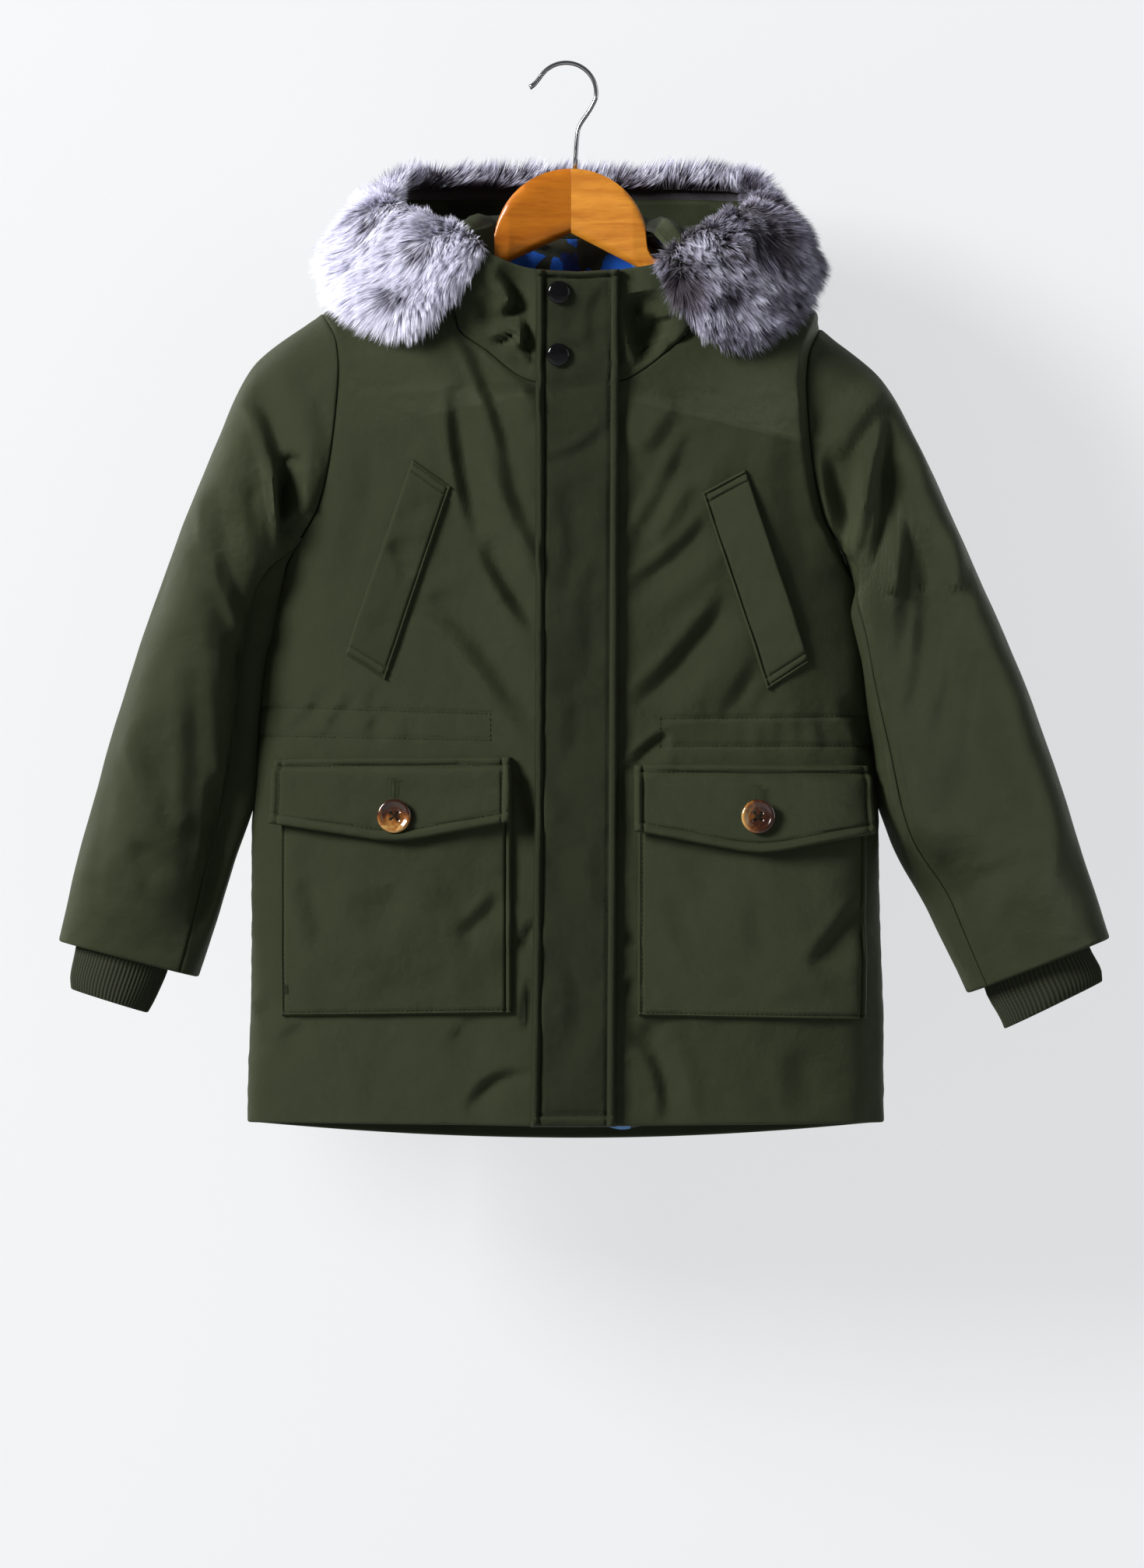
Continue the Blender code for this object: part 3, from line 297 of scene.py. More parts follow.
FUR_STRIPS = {
    # how much darker it is painted, as painted shade (below 0 lighter, as painted light), rows in each run,
    # and its runs: side, first and last way
    "left": (-0.14, 46, [(LEFT, FUR_START_WAY + 0.038, FUR_BACK_WAY)]),
    "right": (0.34, 46, [(RIGHT, FUR_START_WAY + 0.032, FUR_BACK_WAY)]),
    "back": (0.12, 34, [(LEFT, FUR_BACK_WAY, 1.0), (RIGHT, 1.0, FUR_BACK_WAY)]),
}
PARTINGS = {
    # where the pile parts: x, height, strength, reach
    "left": ((-121, 559, 0.75, 18), (-101, 593, 0.5, 18), (-141, 617, 0.45, 20), (-150, 580, 0.3, 16)),
    "right": (
        (125, 600, 0.7, 16), (69, 569, 0.6, 14), (98, 566, 0.45, 14), (131, 621, 0.35, 16),
        (100, 590, 0.3, 14),
    ),
    "back": ((-96, 642, 0.5, 10), (-50, 638, 0.3, 12), (30, 640, 0.3, 12), (70, 634, 0.3, 12)),
}

# The stage, in metres.
VIEW_CENTRE = (0.00406, -0.4871)        # world x and z of the middle of the view
VIEW_HEIGHT = 1.05735
VIEW_PLANE = -0.03                      # y of what the view's height is measured at
STAGE_HEIGHTS = (-1.75, 3.0)            # of the floor, and of the wall's top
WALL_HALF_WIDTH, FLOOR_HALF_WIDTH = 2.2, 30.0
LIGHTS_AIM = (0.0, 0.0, -0.42)
SKY_SEEN = 0.69                         # the sky's strength as the camera sees it
COOL = (0.97, 0.985, 1.0)
LIGHTS = (
    # name, its setting and the share it takes, place, size, tint
    ("key", "key", 1.0, (-3.85, -2.6, 1.75), (1.4, 1.8), (1.0, 0.99, 0.975)),
    ("fill", "fill", 1.0, (2.6, -1.9, 0.5), (1.7, 2.2), COOL),
    ("side", "side", 1.0, (3.4, -0.15, 0.3), (1.5, 2.0), COOL),
    ("back left", "back", 1.0, (-3.2, 1.9, 1.3), (1.4, 1.8), (1.0, 1.0, 1.0)),
    ("back right", "back", 0.25, (2.2, 2.4, 0.2), (2.0, 2.0), (1.0, 1.0, 1.0)),
)

# ---------------------------------------------------------------- folds
# Each fold: start, middle and end as x and h, half its width, and its depth (a ridge is below 0).
FRONT_FOLDS = (
    (-84, 541, -65, 505, -40, 430, 8, 2.2),
    (-86, 500, -80, 445, -66, 395, 8, 3.0),
    (-66, 397, -50, 366, -29, 335, 9, 3.4),
    (-105, 360, -72, 328, -30, 265, 12, 3.2),
    (-127, 395, -121, 382, -115, 370, 7, 1.4),
    (-132, 298, -141, 284, -150, 270, 8, 0.8),
    (-170, 297, -182, 280, -195, 262, 6, 1.2),
    (-150, 292, -164, 275, -178, 258, 6, 1.0),
    (-125, 287, -138, 272, -150, 258, 6, 0.6),
    (-105, 282, -112, 270, -120, 260, 6, 0.4),
    (-60, 530, -45, 500, -30, 480, 10, -2.0),
    (-70, 460, -52, 412, -33, 370, 11, -2.4),
    (-150, 470, -148, 420, -170, 350, 16, 1.6),
    (-90, 66, -80, 58, -70, 48, 13, 1.5),
    (-78, 5, -58, 30, -32, 30, 7, 2.0),
    (-206, 53, -195, 61, -185, 68, 7, 1.3),
    (-220, 75, -214, 80, -208, 85, 6, 1.2),
    (-45, 247, -38, 220, -31, 198, 6, 2.4),
    (-31, 140, -36, 130, -42, 120, 5, 1.4),
    (-33, 100, -36, 80, -35, 60, 5, 1.7),
    (-150, 60, -140, 40, -146, 12, 15, 1.2),
    (75, 470, 55, 425, 30, 385, 9, 1.8),
    (85, 410, 62, 384, 30, 360, 8, 2.2),
    (100, 360, 72, 322, 33, 280, 10, 2.8),
    (120, 320, 105, 290, 90, 275, 10, 1.6),
    (132, 300, 121, 285, 110, 270, 8, 0.8),
    (60, 262, 48, 256, 30, 238, 6, 2.2),
    (172, 290, 185, 270, 195, 250, 8, 1.2),
    (150, 288, 158, 272, 166, 256, 6, 0.6),
    (60, 490, 48, 472, 35, 455, 10, -1.8),
    (70, 440, 58, 415, 45, 395, 10, -2.0),
    (140, 480, 138, 430, 150, 380, 16, 1.4),
    (28, 130, 33, 125, 38, 120, 5, 1.3),
    (27, 90, 32, 95, 37, 100, 5, 1.2),
    (30, 62, 52, 42, 57, 0, 7, 2.2),
    (40, 67, 48, 67, 56, 64, 9, 1.5),
    (150, 55, 145, 35, 152, 10, 15, 1.2),
)
BACK_FOLDS = (
    (-150, 500, -120, 440, -110, 350, 13, 2.4),
    (-70, 440, -60, 380, -75, 300, 12, 2.2),
    (-30, 400, -20, 340, -34, 282, 10, 1.9),
    (48, 420, 58, 350, 44, 290, 12, 2.3),
    (140, 490, 118, 430, 112, 340, 13, 2.5),
    (160, 400, 150, 350, 172, 300, 10, 1.9),
    (-170, 390, -160, 340, -182, 296, 10, 2.0),
    (-150, 292, -158, 272, -150, 252, 7, 1.6),
    (-96, 290, -88, 270, -94, 254, 7, 1.5),
    (-12, 288, -18, 270, -10, 250, 7, 1.5),
    (30, 290, 38, 268, 30, 252, 7, 1.7),
    (92, 292, 84, 270, 92, 250, 7, 1.4),
    (150, 290, 158, 270, 150, 254, 7, 1.6),
    (-160, 200, -140, 120, -150, 30, 16, 2.2),
    (-60, 220, -74, 140, -60, 20, 17, 2.0),
    (26, 210, 40, 120, 28, 10, 16, 2.1),
    (120, 220, 108, 130, 124, 20, 17, 2.2),
    (-110, 470, -90, 430, -92, 380, 12, -1.8),
    (90, 470, 84, 420, 92, 370, 12, -1.8),
)
SLEEVE_FRONT_FOLDS = (
    (-226, 500, -207, 465, -198, 400, 9, 3.2),
    (-200, 450, -201, 420, -198, 392, 6, 6.0),
    (-201, 447, -195, 450, -189, 443, 4, 2.8),
    (-196, 394, -187, 409, -174, 409, 5, 2.6),
    (-209, 452, -207, 425, -204, 398, 6, -2.8),
    (-242, 432, -237, 375, -212, 328, 10, 3.8),
    (-231, 340, -228, 300, -224, 262, 13, 4.2),
    (-215, 332, -217, 300, -220, 268, 8, -2.8),
    (-260, 312, -262, 250, -262, 188, 11, 2.6),
    (-264, 402, -256, 320, -247, 200, 13, -2.6),
    (-296, 272, -287, 235, -270, 208, 10, 2.6),
    (-299, 192, -296, 178, -288, 163, 8, 1.8),
    (-250, 240, -246, 190, -256, 130, 11, 2.6),
    (-318, 240, -325, 190, -330, 150, 12, 1.4),
    (207, 495, 185, 478, 163, 440, 9, -2.4),
    (167, 457, 172, 425, 181, 394, 9, 4.6),
    (197, 460, 191, 420, 184, 380, 5, -3.0),
    (208, 485, 205, 430, 190, 350, 8, 3.4),
    (212, 440, 211, 380, 203, 290, 9, -2.4),
    (228, 402, 230, 330, 212, 248, 10, 3.0),
    (245, 407, 241, 330, 220, 238, 11, -2.4),
    (257, 160, 285, 173, 316, 186, 8, 2.0),
    (262, 350, 268, 290, 246, 220, 13, 1.8),
    (300, 260, 290, 220, 268, 196, 12, 1.6),
)
SLEEVE_BACK_FOLDS = (
    (-220, 500, -205, 450, -200, 395, 10, 3.2),
    (-250, 420, -236, 360, -214, 320, 10, 3.2),
    (-272, 330, -262, 260, -252, 200, 12, 2.6),
    (-300, 250, -286, 210, -262, 190, 11, 2.4),
    (-320, 190, -300, 168, -276, 150, 10, 2.0),
    (-238, 380, -240, 320, -232, 260, 11, -2.2),
    (212, 490, 200, 440, 186, 392, 10, 3.2),
    (240, 420, 226, 350, 206, 300, 10, 3.2),
    (268, 330, 256, 260, 236, 205, 12, 2.5),
    (300, 262, 288, 214, 256, 180, 11, 2.4),
    (326, 200, 304, 170, 270, 150, 10, 2.0),
    (228, 380, 232, 320, 220, 260, 11, -2.2),
)
COLLAR_FOLDS = (
    (-57, 577, -42, 558, -56, 540, 7, 6.0),
    (-63, 531, -40, 536, -49, 519, 4.5, -4.2),
    (-60, 526, -53, 527, -46, 527, 4, 2.8),
    (-36, 546, -36, 530, -31, 510, 4.5, 3.4),
    (-62, 520, -46, 513, -31, 506, 4.5, 1.8),
    (-70, 560, -66, 550, -70, 540, 6, 2.0),
    (34, 562, 38, 540, 44, 515, 10, 9.0),
    (50, 558, 50, 540, 53, 524, 8, 3.0),
    (38, 547, 48, 546, 61, 546, 4, -2.6),
    (53, 531, 58, 522, 63, 514, 5, -2.4),
    (40, 537, 51, 538, 63, 542, 4, 2.6),
)
HOOD_BACK_FOLDS = (
    (-96, 560, -40, 496, 30, 486, 11, 4.0),
    (92, 574, 50, 520, -10, 508, 10, 3.4),
    (-70, 590, -30, 548, 20, 540, 10, -2.6),
    (-100, 600, -86, 560, -60, 530, 9, 2.4),
    (104, 600, 86, 556, 58, 520, 9, 2.6),
    (10, 470, 34, 476, 58, 490, 9, 2.2),
)
LINING_FOLDS = (
    (-40, 600, -18, 600, 6, 580, 3.5, -2.4),
    (-42, 592, -22, 592, -2, 578, 3.5, -2.4),
    (-44, 596, -20, 596, 2, 579, 2.5, 2.0),
    (14, 600, 26, 590, 34, 578, 5, -1.8),
)
POCKET_FOLDS = (
    (-54, 158, -66, 142, -84, 126, 8, 2.2),
    (-188, 168, -180, 145, -178, 118, 11, 1.8),
    (-160, 150, -140, 148, -118, 160, 12, 1.2),
    (-150, 112, -120, 96, -90, 100, 12, 1.2),
    (-130, 178, -100, 150, -90, 120, 12, -1.1),
    (186, 152, 170, 130, 150, 105, 9, 2.2),
    (60, 160, 80, 120, 120, 96, 12, 1.4),
    (70, 100, 100, 90, 130, 92, 10, 1.0),
    (110, 170, 100, 140, 108, 110, 12, -1.1),
)
PLACKET_FOLDS = (
    (-24, 447, 0, 455, 20, 472, 6, 1.3),
    (-20, 505, -8, 498, 12, 500, 7, 0.9),
    (20, 566, 8, 545, 14, 520, 6, 1.2),
    (-18, 540, -8, 530, 6, 536, 6, -0.7),
    (-16, 430, -6, 400, -12, 360, 9, 1.1),
    (14, 380, 4, 350, 12, 310, 9, 1.0),
    (-18, 300, -4, 280, -12, 240, 10, 0.9),
    (12, 210, 2, 180, 8, 140, 9, -0.9),
    (-14, 120, -4, 90, -10, 50, 10, 0.9),
)
SLEEVE_SWELLS = {
    # how far it stands out up the sleeve and low down, its place across there, and its reach
    LEFT: ((9.0, 9.0, 0.38, 0.38, 0.24), (-18.0, -18.0, 0.9, 0.9, 0.2)),
    RIGHT: ((-8.0, -9.0, 0.56, 0.33, 0.16), (5.0, 5.0, 0.78, 0.6, 0.16), (11.0, 0.0, 0.22, 0.22, 0.15)),
}
SLEEVE_TOUCHES = {
    # how far the sleeve leans on the body, at a height, and its reach
    LEFT: ((4.6, 226, 26), (4.5, 345, 24)),
    RIGHT: ((4.6, 226, 26), (4.5, 345, 24), (2.5, 280, 40)),
}


# ---------------------------------------------------------------- curves and surfaces
def world(points):
    """Metres in the frame, from millimetres in the garment's frame."""
    return (np.asarray(points, float) - SEAT) * MM


def unit(vectors):
    return vectors / np.maximum(np.linalg.norm(vectors, axis=-1, keepdims=True), 1e-9)


def mix(a, b, share):
    return a * (1 - share) + b * share


def step_up(value, low, high):
    """0 below low, 1 above high, smooth between."""
    t = np.clip((value - low) / (high - low), 0, 1)
    return t * t * (3 - 2 * t)


def bell(value, centre, reach):
    """1 at the centre, falling to nothing some reaches away."""
    return np.exp(-(((value - centre) / reach) ** 2))


def smooth(keys, values, at):
    """Values at places on a smooth curve through rows, or on one curve for each place."""
    keys, values, at = np.asarray(keys, float), np.asarray(values, float), np.asarray(at, float)
    rise = np.diff(values, axis=0) / np.diff(keys).reshape(-1, *[1] * (values.ndim - 1))
    before, after = rise[:-1], rise[1:]
    total = np.where(before * after > 0, before + after, 1)
    inside = np.where(before * after > 0, 2 * before * after / total, 0)
    slope = np.concatenate([rise[:1], inside, rise[-1:]])
    i = np.clip(np.searchsorted(keys, at) - 1, 0, len(keys) - 2)
    span = (keys[i + 1] - keys[i])[..., None]
    t = np.clip((at - keys[i])[..., None] / span, 0, 1)

    def pick(rows, row):
        return rows[row, np.arange(len(at))] if values.ndim == 3 else rows[row]

    return (
        (1 + 2 * t) * (1 - t) ** 2 * pick(values, i)
        + t * t * (3 - 2 * t) * pick(values, i + 1)
        + span * (t * (1 - t) ** 2 * pick(slope, i) - t * t * (1 - t) * pick(slope, i + 1))
    )


def table(rows, at):
    rows = np.array(rows, float)
    return smooth(rows[:, 0], rows[:, 1:], at)


def torso_section(x, h):
    """Half-width on x's side, and the depths of the front and the back."""
    left, right, front, back = np.moveaxis(table(TORSO, h), -1, 0)
    return np.where(x < 0, left, right) + 3.2 * bell(h, 280, 58), front, back


def torso_point(x, h, front):
    x, h = np.broadcast_arrays(np.asarray(x, float), np.asarray(h, float))
    width, front_depth, back_depth = torso_section(x, h)
    deep = (1 - np.minimum(np.abs(x) / width, 1) ** ROUND) ** (1 / ROUND)
    return np.stack([x, np.where(front, -front_depth, back_depth) * deep, h], -1)


def torso_normal(x, h, front):
    """The outward normal, from the gradient of the section's equation."""
    width, *depths = torso_section(x, h)
    over, under = torso_section(x, h + 1), torso_section(x, h - 1)
    depth = np.where(front, *depths)
    width_rise = (over[0] - under[0]) / 2
    depth_rise = np.where(front, (over[1] - under[1]) / 2, (over[2] - under[2]) / 2)
    share = np.minimum(np.abs(x) / width, 1)
    deep = (1 - share**ROUND) ** (1 / ROUND)
    across, out = share ** (ROUND - 1), deep ** (ROUND - 1)
    up = -(across * share * width_rise / width + out * deep * depth_rise / depth)
    return unit(np.stack([np.sign(x) * across / width, np.where(front, -1, 1) * out / depth, up], -1))


def armhole(side, down):
    bow = table(ARMHOLE_SHAPE, down)[..., 0] * ARMHOLE_BOW[side]
    (x0, h0), (x1, h1) = SHOULDER[side], ARMPIT[side]
    return mix(x0, x1, down) - side * bow, mix(h0, h1, down)


def sleeve_point(side, share, turn):
    """A sleeve's surface; share runs down it and turn round it, in half turns from its outer edge."""
    angle, front = np.pi * turn, turn % 2 < 1
    rings = [torso_point(*armhole(side, (1 - np.cos(angle)) / 2), front)]
    across = (1 + np.sign(np.cos(angle)) * np.abs(np.cos(angle)) ** (2 / SLEEVE_ROUND)) / 2
    deep = np.abs(np.sin(angle)) ** (2 / SLEEVE_ROUND)
    for _, outer_x, outer_h, inner_x, inner_h, front_depth, back_depth in SLEEVE[side]:
        y = np.where(front, -front_depth, back_depth) * deep
        rings.append(np.stack([mix(inner_x, outer_x, across), y, mix(inner_h, outer_h, across)], -1))
    return smooth([0.0] + [row[0] for row in SLEEVE[side]], np.stack(rings), share)


def hood_point(side, way, along):
    """The hood's surface, from the neck seam (along 0) to its opening edge (1)."""
    neck_x, neck_h, edge_x, edge_y, edge_h, roll, drop = np.moveaxis(table(HOOD[side], way), -1, 0)
    neck = torso_point(neck_x, neck_h, way < NECK_POINT_WAY)
    edge = np.stack([edge_x, edge_y, edge_h], -1)
    falls = (drop > 1)[:, None]
    out = np.where(falls, unit((edge - neck) * [1, 1, 0]), [0.0, -1.0, 0.0])
    points = []
    for share, outward, roll_share, drop_share, bulge in HOOD_SHAPE:
        straight = np.where(drop < 1, share, outward)[:, None]
        point = mix(neck, edge, straight) + out * bulge
        point[:, 2] += roll * roll_share - drop * drop_share
        points.append(point)
    point = smooth([row[0] for row in HOOD_SHAPE], np.stack(points), along)
    x, h, front = point[:, 0], point[:, 2], way < NECK_POINT_WAY
    short = HOOD_CLEAR * np.minimum(along / 0.15, 1)
    normal = torso_normal(x, h, front)
    short = short - ((point - torso_point(x, h, front)) * normal).sum(-1)
    over_body = (way > COLLAR_WAY) & (np.abs(x) < torso_section(x, h)[0])
    return point + normal * np.where(over_body, np.maximum(short, 0), 0)[:, None]


def hood_normal(side, way, along):
    after, before = np.minimum(way + 0.02, 1), np.maximum(way - 0.02, 0)
    over, under = np.minimum(along + 0.03, 1), np.maximum(along - 0.03, 0)
    across = hood_point(side, after, along) - hood_point(side, before, along)
    up = hood_point(side, way, over) - hood_point(side, way, under)
    return unit(np.cross(across, up) * side)


def front_skin(x, h):
    """Points and normals on the fronts, and above the neck seam on the front of the collar."""
    shape = np.shape(x)
    x, h = np.ravel(x), np.ravel(h)
    points, normals = torso_point(x, h, True), torso_normal(x, h, True)
    way = np.minimum(COLLAR_WAY * np.abs(x) / PLACKET_HALF, 0.2)
    for side in SIDES:
        station = table(HOOD[side], way)
        along = (h - station[:, 1]) / (station[:, 4] - station[:, 1])
        on = (along > 0) & (np.abs(x) < 40) & (np.where(x < 0, LEFT, RIGHT) == side)
        if on.any():
            points[on] = hood_point(side, way[on], along[on])
            normals[on] = hood_normal(side, way[on], along[on])
    return points.reshape(*shape, 3), normals.reshape(*shape, 3)


def fold_relief(folds, x, h):
    """How far folds move a skin out, at places given as x and height."""
    x, h = np.broadcast_arrays(x, h)
    out = np.zeros(x.shape)
    t = np.linspace(0, 1, 60)
    for x0, h0, x1, h1, x2, h2, width, depth in folds:
        line = [
            a * (1 - t) * (1 - 2 * t) + 4 * b * t * (1 - t) + c * t * (2 * t - 1)
            for a, b, c in ((x0, x1, x2), (h0, h1, h2))
        ]
        line = [line[0] + 0.42 * width, line[1] - 0.26 * width]
        reach = 4 * width
        near = (x > line[0].min() - reach) & (x < line[0].max() + reach)
        near &= (h > line[1].min() - reach) & (h < line[1].max() + reach)
        if not near.any():
            continue
        off_x, off_h = x[near][:, None] - line[0], h[near][:, None] - line[1]
        nearest = np.hypot(off_x, off_h).argmin(1)
        pick = np.arange(len(nearest)), nearest
        # the side that faces the light is the softer
        lit = np.tanh((off_x[pick] - 0.6 * off_h[pick]) / width * 2)
        r = np.hypot(off_x[pick], off_h[pick]) / (width * (0.92 + 0.34 * lit * np.sign(depth)))
        window = 1 - np.abs(2 * t[nearest] - 1) ** 3
        shape = np.exp(-(r**1.35)) - 0.34 * bell(r, 1.9, 0.8)
        out[near] -= depth * window * shape
    return out


def wobble(points, size, seed):
    """A smooth uneven field between about -1 and 1, with swells of about this size."""
    rng = np.random.default_rng(seed)
    total = np.zeros(points.shape[:-1])
    for _ in range(6):
        wave = unit(rng.normal(size=3)) * (2 * np.pi / (size * rng.uniform(0.8, 1.7)))
        total += np.sin(points @ wave + rng.uniform(0, 2 * np.pi))
    return total / 3


def waist_lines(x, front):
    """Heights of the two seams of the waist's drawn channel."""
    share = np.clip((np.abs(x) - (57 if front else 0)) / (150 if front else 205), 0, 1)
    left, right = (np.array(WAIST[side][2:]) for side in SIDES)
    return [
        np.where(x < 0, mix(left[k], left[k + 1], share), mix(right[k], right[k + 1], share))
        for k in (0, 2)
    ]


def body_relief(x, h, front):
    """The folds of a front or the back, and the gathers of the waist's drawn channel."""
    out = 2.1 * fold_relief(FRONT_FOLDS, x, h) if front else 2.2 * fold_relief(BACK_FOLDS, x, h)
    points = np.stack([x, np.zeros_like(x), h], -1)
    upper, lower = waist_lines(x, front)
    gathers = wobble(points * [1, 1, 0.22], 12, 5) * bell(h, 267, 17)
    width = torso_section(x, h)[0]
    side_share = step_up(np.abs(x) / width, 0.25, 0.7)
    seams = sum(bell(h, line, 1.7) for line in (upper, lower))
    over = step_up(np.abs(x), 54, 58)
    if front:
        # the right front lies flatter than the section, up to near its side seam
        out += 8.0 * step_up(x, 25, 165) * (1 - 0.75 * step_up(x, 180, 203))
    out += 1.1 * gathers * (side_share if front else 0.9) - 1.3 * seams * (over if front else 1)
    return out + 0.9 * wobble(points, 75, 2 if front else 3) + 0.28 * wobble(points, 24, 4)


# ---------------------------------------------------------------- grids
ROLL_STEPS = (0.0, 0.4, 1.1, 2.1, 3.6)
PAD_STEPS = (0.0, 0.5, 1.2, 2.2, 3.2, 4.2, 5.2, 6.2, 7.2, 8.4, 10.0)


def even_places(values, points, step, ends=ROLL_STEPS):
    """Values of a parameter at even steps along a curve, and closer together at its ends."""
    length = np.concatenate([[0], np.cumsum(np.linalg.norm(np.diff(points, axis=0), axis=1))])
    ends, total = np.array(ends), length[-1]
    if total < 2.5 * ends[-1]:
        ends = ends * total / (2.5 * ends[-1])
    count = max(math.ceil((total - 2 * ends[-1]) / step) + 1, 2)
    at = np.concatenate([ends[:-1], np.linspace(ends[-1], total - ends[-1], count), total - ends[-2::-1]])
    return np.interp(at, length, values)


def from_sides(grid):
    """Distances over a grid's surface from its first row, last row, first column and last column."""
    down = np.linalg.norm(np.diff(grid, axis=0), axis=-1)
    across = np.linalg.norm(np.diff(grid, axis=1), axis=-1)
    rows = np.vstack([np.zeros((1, grid.shape[1])), np.cumsum(down, 0)])
    columns = np.hstack([np.zeros((grid.shape[0], 1)), np.cumsum(across, 1)])
    return rows, rows[-1] - rows, columns, columns[:, -1:] - columns


def grid_normals(grid, sign):
    across, down = np.gradient(grid, axis=1), np.gradient(grid, axis=0)
    return unit(np.cross(across, down) * sign)


def grid_quads(rows, columns, wrap=False, close=False):
    """Faces between a grid's points; wrap joins its last column to its first, and close its last row."""
    rows_used, columns_used = rows - (not close), columns - (not wrap)
    r, c = np.meshgrid(np.arange(rows_used), np.arange(columns_used), indexing="ij")
    row, after, beside = r * columns, (r + 1) % rows * columns, (c + 1) % columns
    return np.stack([row + c, row + beside, after + beside, after + c], -1).reshape(-1, 4)


def kept(count):
    """The lines of a grid that its inner side keeps: every other one, but all of them near its sides."""
    ids = np.arange(count)
    return ids[(ids < 6) | (ids >= count - 6) | (ids % 2 == 0)]


def two_sided(outer, inner):
    """Points, outer, inner and rim faces, and kept lines, of a piece whose inner side keeps fewer lines."""
    rows, columns = outer.shape[:2]
    lines = np.ix_(kept(rows), kept(columns))
    few = inner[lines]
    ids = np.arange(rows * columns).reshape(rows, columns)
    coarse = np.arange(few.shape[0] * few.shape[1]).reshape(few.shape[:2]) + ids.size
    rim, match, under = (
        np.concatenate([each[0], each[1:, -1], each[-1, -2::-1], each[-2:0:-1, 0]]).tolist()
        for each in (ids, ids[lines], coarse)
    )
    place = {point: order for order, point in enumerate(rim)}
    rims = []
    for order, first in enumerate(match):
        after = (order + 1) % len(match)
        start, end = place[first], place[match[after]] or len(rim)
        back_along = [rim[k % len(rim)] for k in range(end, start, -1)]
        rims.append([rim[start], under[order], under[after], *back_along])
    back = grid_quads(*few.shape[:2])[:, ::-1] + ids.size
    points = np.concatenate([outer.reshape(-1, 3), few.reshape(-1, 3)])
    return points, (grid_quads(rows, columns).tolist(), back.tolist(), rims), lines


# ---------------------------------------------------------------- making pieces
def link(name, data):
    """An object at the origin that holds a mesh, a curve, a light or a camera."""
    obj = bpy.data.objects.new(name, data)
    bpy.context.scene.collection.objects.link(obj)
    return obj


def evaluated_mesh(obj, **options):
    graph = bpy.context.evaluated_depsgraph_get()
    return bpy.data.meshes.new_from_object(obj.evaluated_get(graph), depsgraph=graph, **options)


def new_object(
    name, points, faces, materials, sign=1, uv=None, face_material=None, attributes=None, sharp=70
):
    """An object from points in millimetres and its faces, which sign -1 turns over."""
    mesh = bpy.data.meshes.new(name)
    mesh.from_pydata(world(points).tolist(), [], [list(face)[::sign] for face in faces])
    for material in materials:
        mesh.materials.append(material)
    if face_material is not None:
        mesh.polygons.foreach_set("material_index", np.asarray(face_material, np.int32))
    if uv is not None:
        corner = np.zeros(len(mesh.loops), np.int32)
        mesh.loops.foreach_get("vertex_index", corner)
        mesh.uv_layers.new(name="cloth").data.foreach_set("uv", np.asarray(uv, np.float32)[corner].ravel())
    for title, values in (attributes or {}).items():
        values = np.asarray(values, np.float32)
        kind, key = ("FLOAT_VECTOR", "vector") if values.ndim == 2 else ("FLOAT", "value")
        mesh.attributes.new(title, kind, "POINT").data.foreach_set(key, values.ravel())
    mesh.shade_smooth()
    mesh.set_sharp_from_angle(angle=math.radians(sharp))
    return link(name, mesh)


def close_ends(obj):
    """Welds a piece's doubled points and fills the open rings at its ends."""
    work = bmesh.new()
    work.from_mesh(obj.data)
    bmesh.ops.remove_doubles(work, verts=work.verts, dist=1e-6)
    bmesh.ops.holes_fill(work, edges=[edge for edge in work.edges if edge.is_boundary])
    bmesh.ops.recalc_face_normals(work, faces=work.faces)
    work.to_mesh(obj.data)
    work.free()


def settle(obj, slot, node=None, flat=None, rests_on=None, **sheet):
    """Rides a finished piece on the body in place of its solid, and hangs it if it has a flat size."""
    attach(obj, "root")
    if node:
        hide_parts(node)
    if flat:
        whole, one_side = flat[0] * flat[1], sum(face.area for face in obj.data.polygons) / 2
        area = round(min(max(one_side, LEAST_AREA * whole), whole), 5)


def round_over(distance, radius):
    return np.sqrt(1 - (1 - np.clip(distance / radius, 0, 1)) ** 2)


def cloth_uv(sides, lines):
    """Places along and down the cloth in decimetres, for a piece's outer and inner side."""
    uv = np.stack([sides[2], sides[0]], -1) / 100
    return np.vstack([uv.reshape(-1, 2), uv[lines].reshape(-1, 2)])


def faces_out(grid, normals):
    """1 if a grid's own normals point the way of these normals at its middle, or -1."""
    middle = grid.shape[0] // 2, grid.shape[1] // 2
    return 1 if grid_normals(grid, 1)[middle] @ normals[middle] > 0 else -1


def wall(name, grid, sign, thickness, materials, relief, facing=None, roll=2.0, hem=26, tuck=0):
    """A panel of padded shell with rounded edges; its inner side takes the second material past its hem."""
    normals, sides = grid_normals(grid, sign), from_sides(grid)
    near = np.minimum.reduce(sides)
    thick = thickness * (0.16 + 0.84 * round_over(near, roll))
    outer = grid + normals * (relief - (thickness - thick) / 2)[..., None]
    inner = outer - normals * thick[..., None]
    if tuck:                                       # a seam allowance behind the first side's seam
        deep = np.maximum(thickness + 1.2 - thick - (thickness - thick) / 2, 0) * bell(sides[0], 0, 2.6)
        inner = inner - normals * deep[..., None]
        edge, way = unit(np.gradient(grid[0], axis=0)), grid[0] - grid[3]
        inner[0] += tuck * unit(way - edge * (way * edge).sum(-1, keepdims=True))
    points, (front, back, rim), lines = two_sided(outer, inner)
    index = [0] * (len(front) + len(back) + len(rim))
    if len(materials) > 1:
        lined = ((sides[0] if facing is None else facing) > hem) & (near > 7)
        index[len(front) : len(front) + len(back)] = lined[lines][:-1, :-1].ravel()
    return new_object(name, points, front + back + rim, materials, sign, cloth_uv(sides, lines), index)


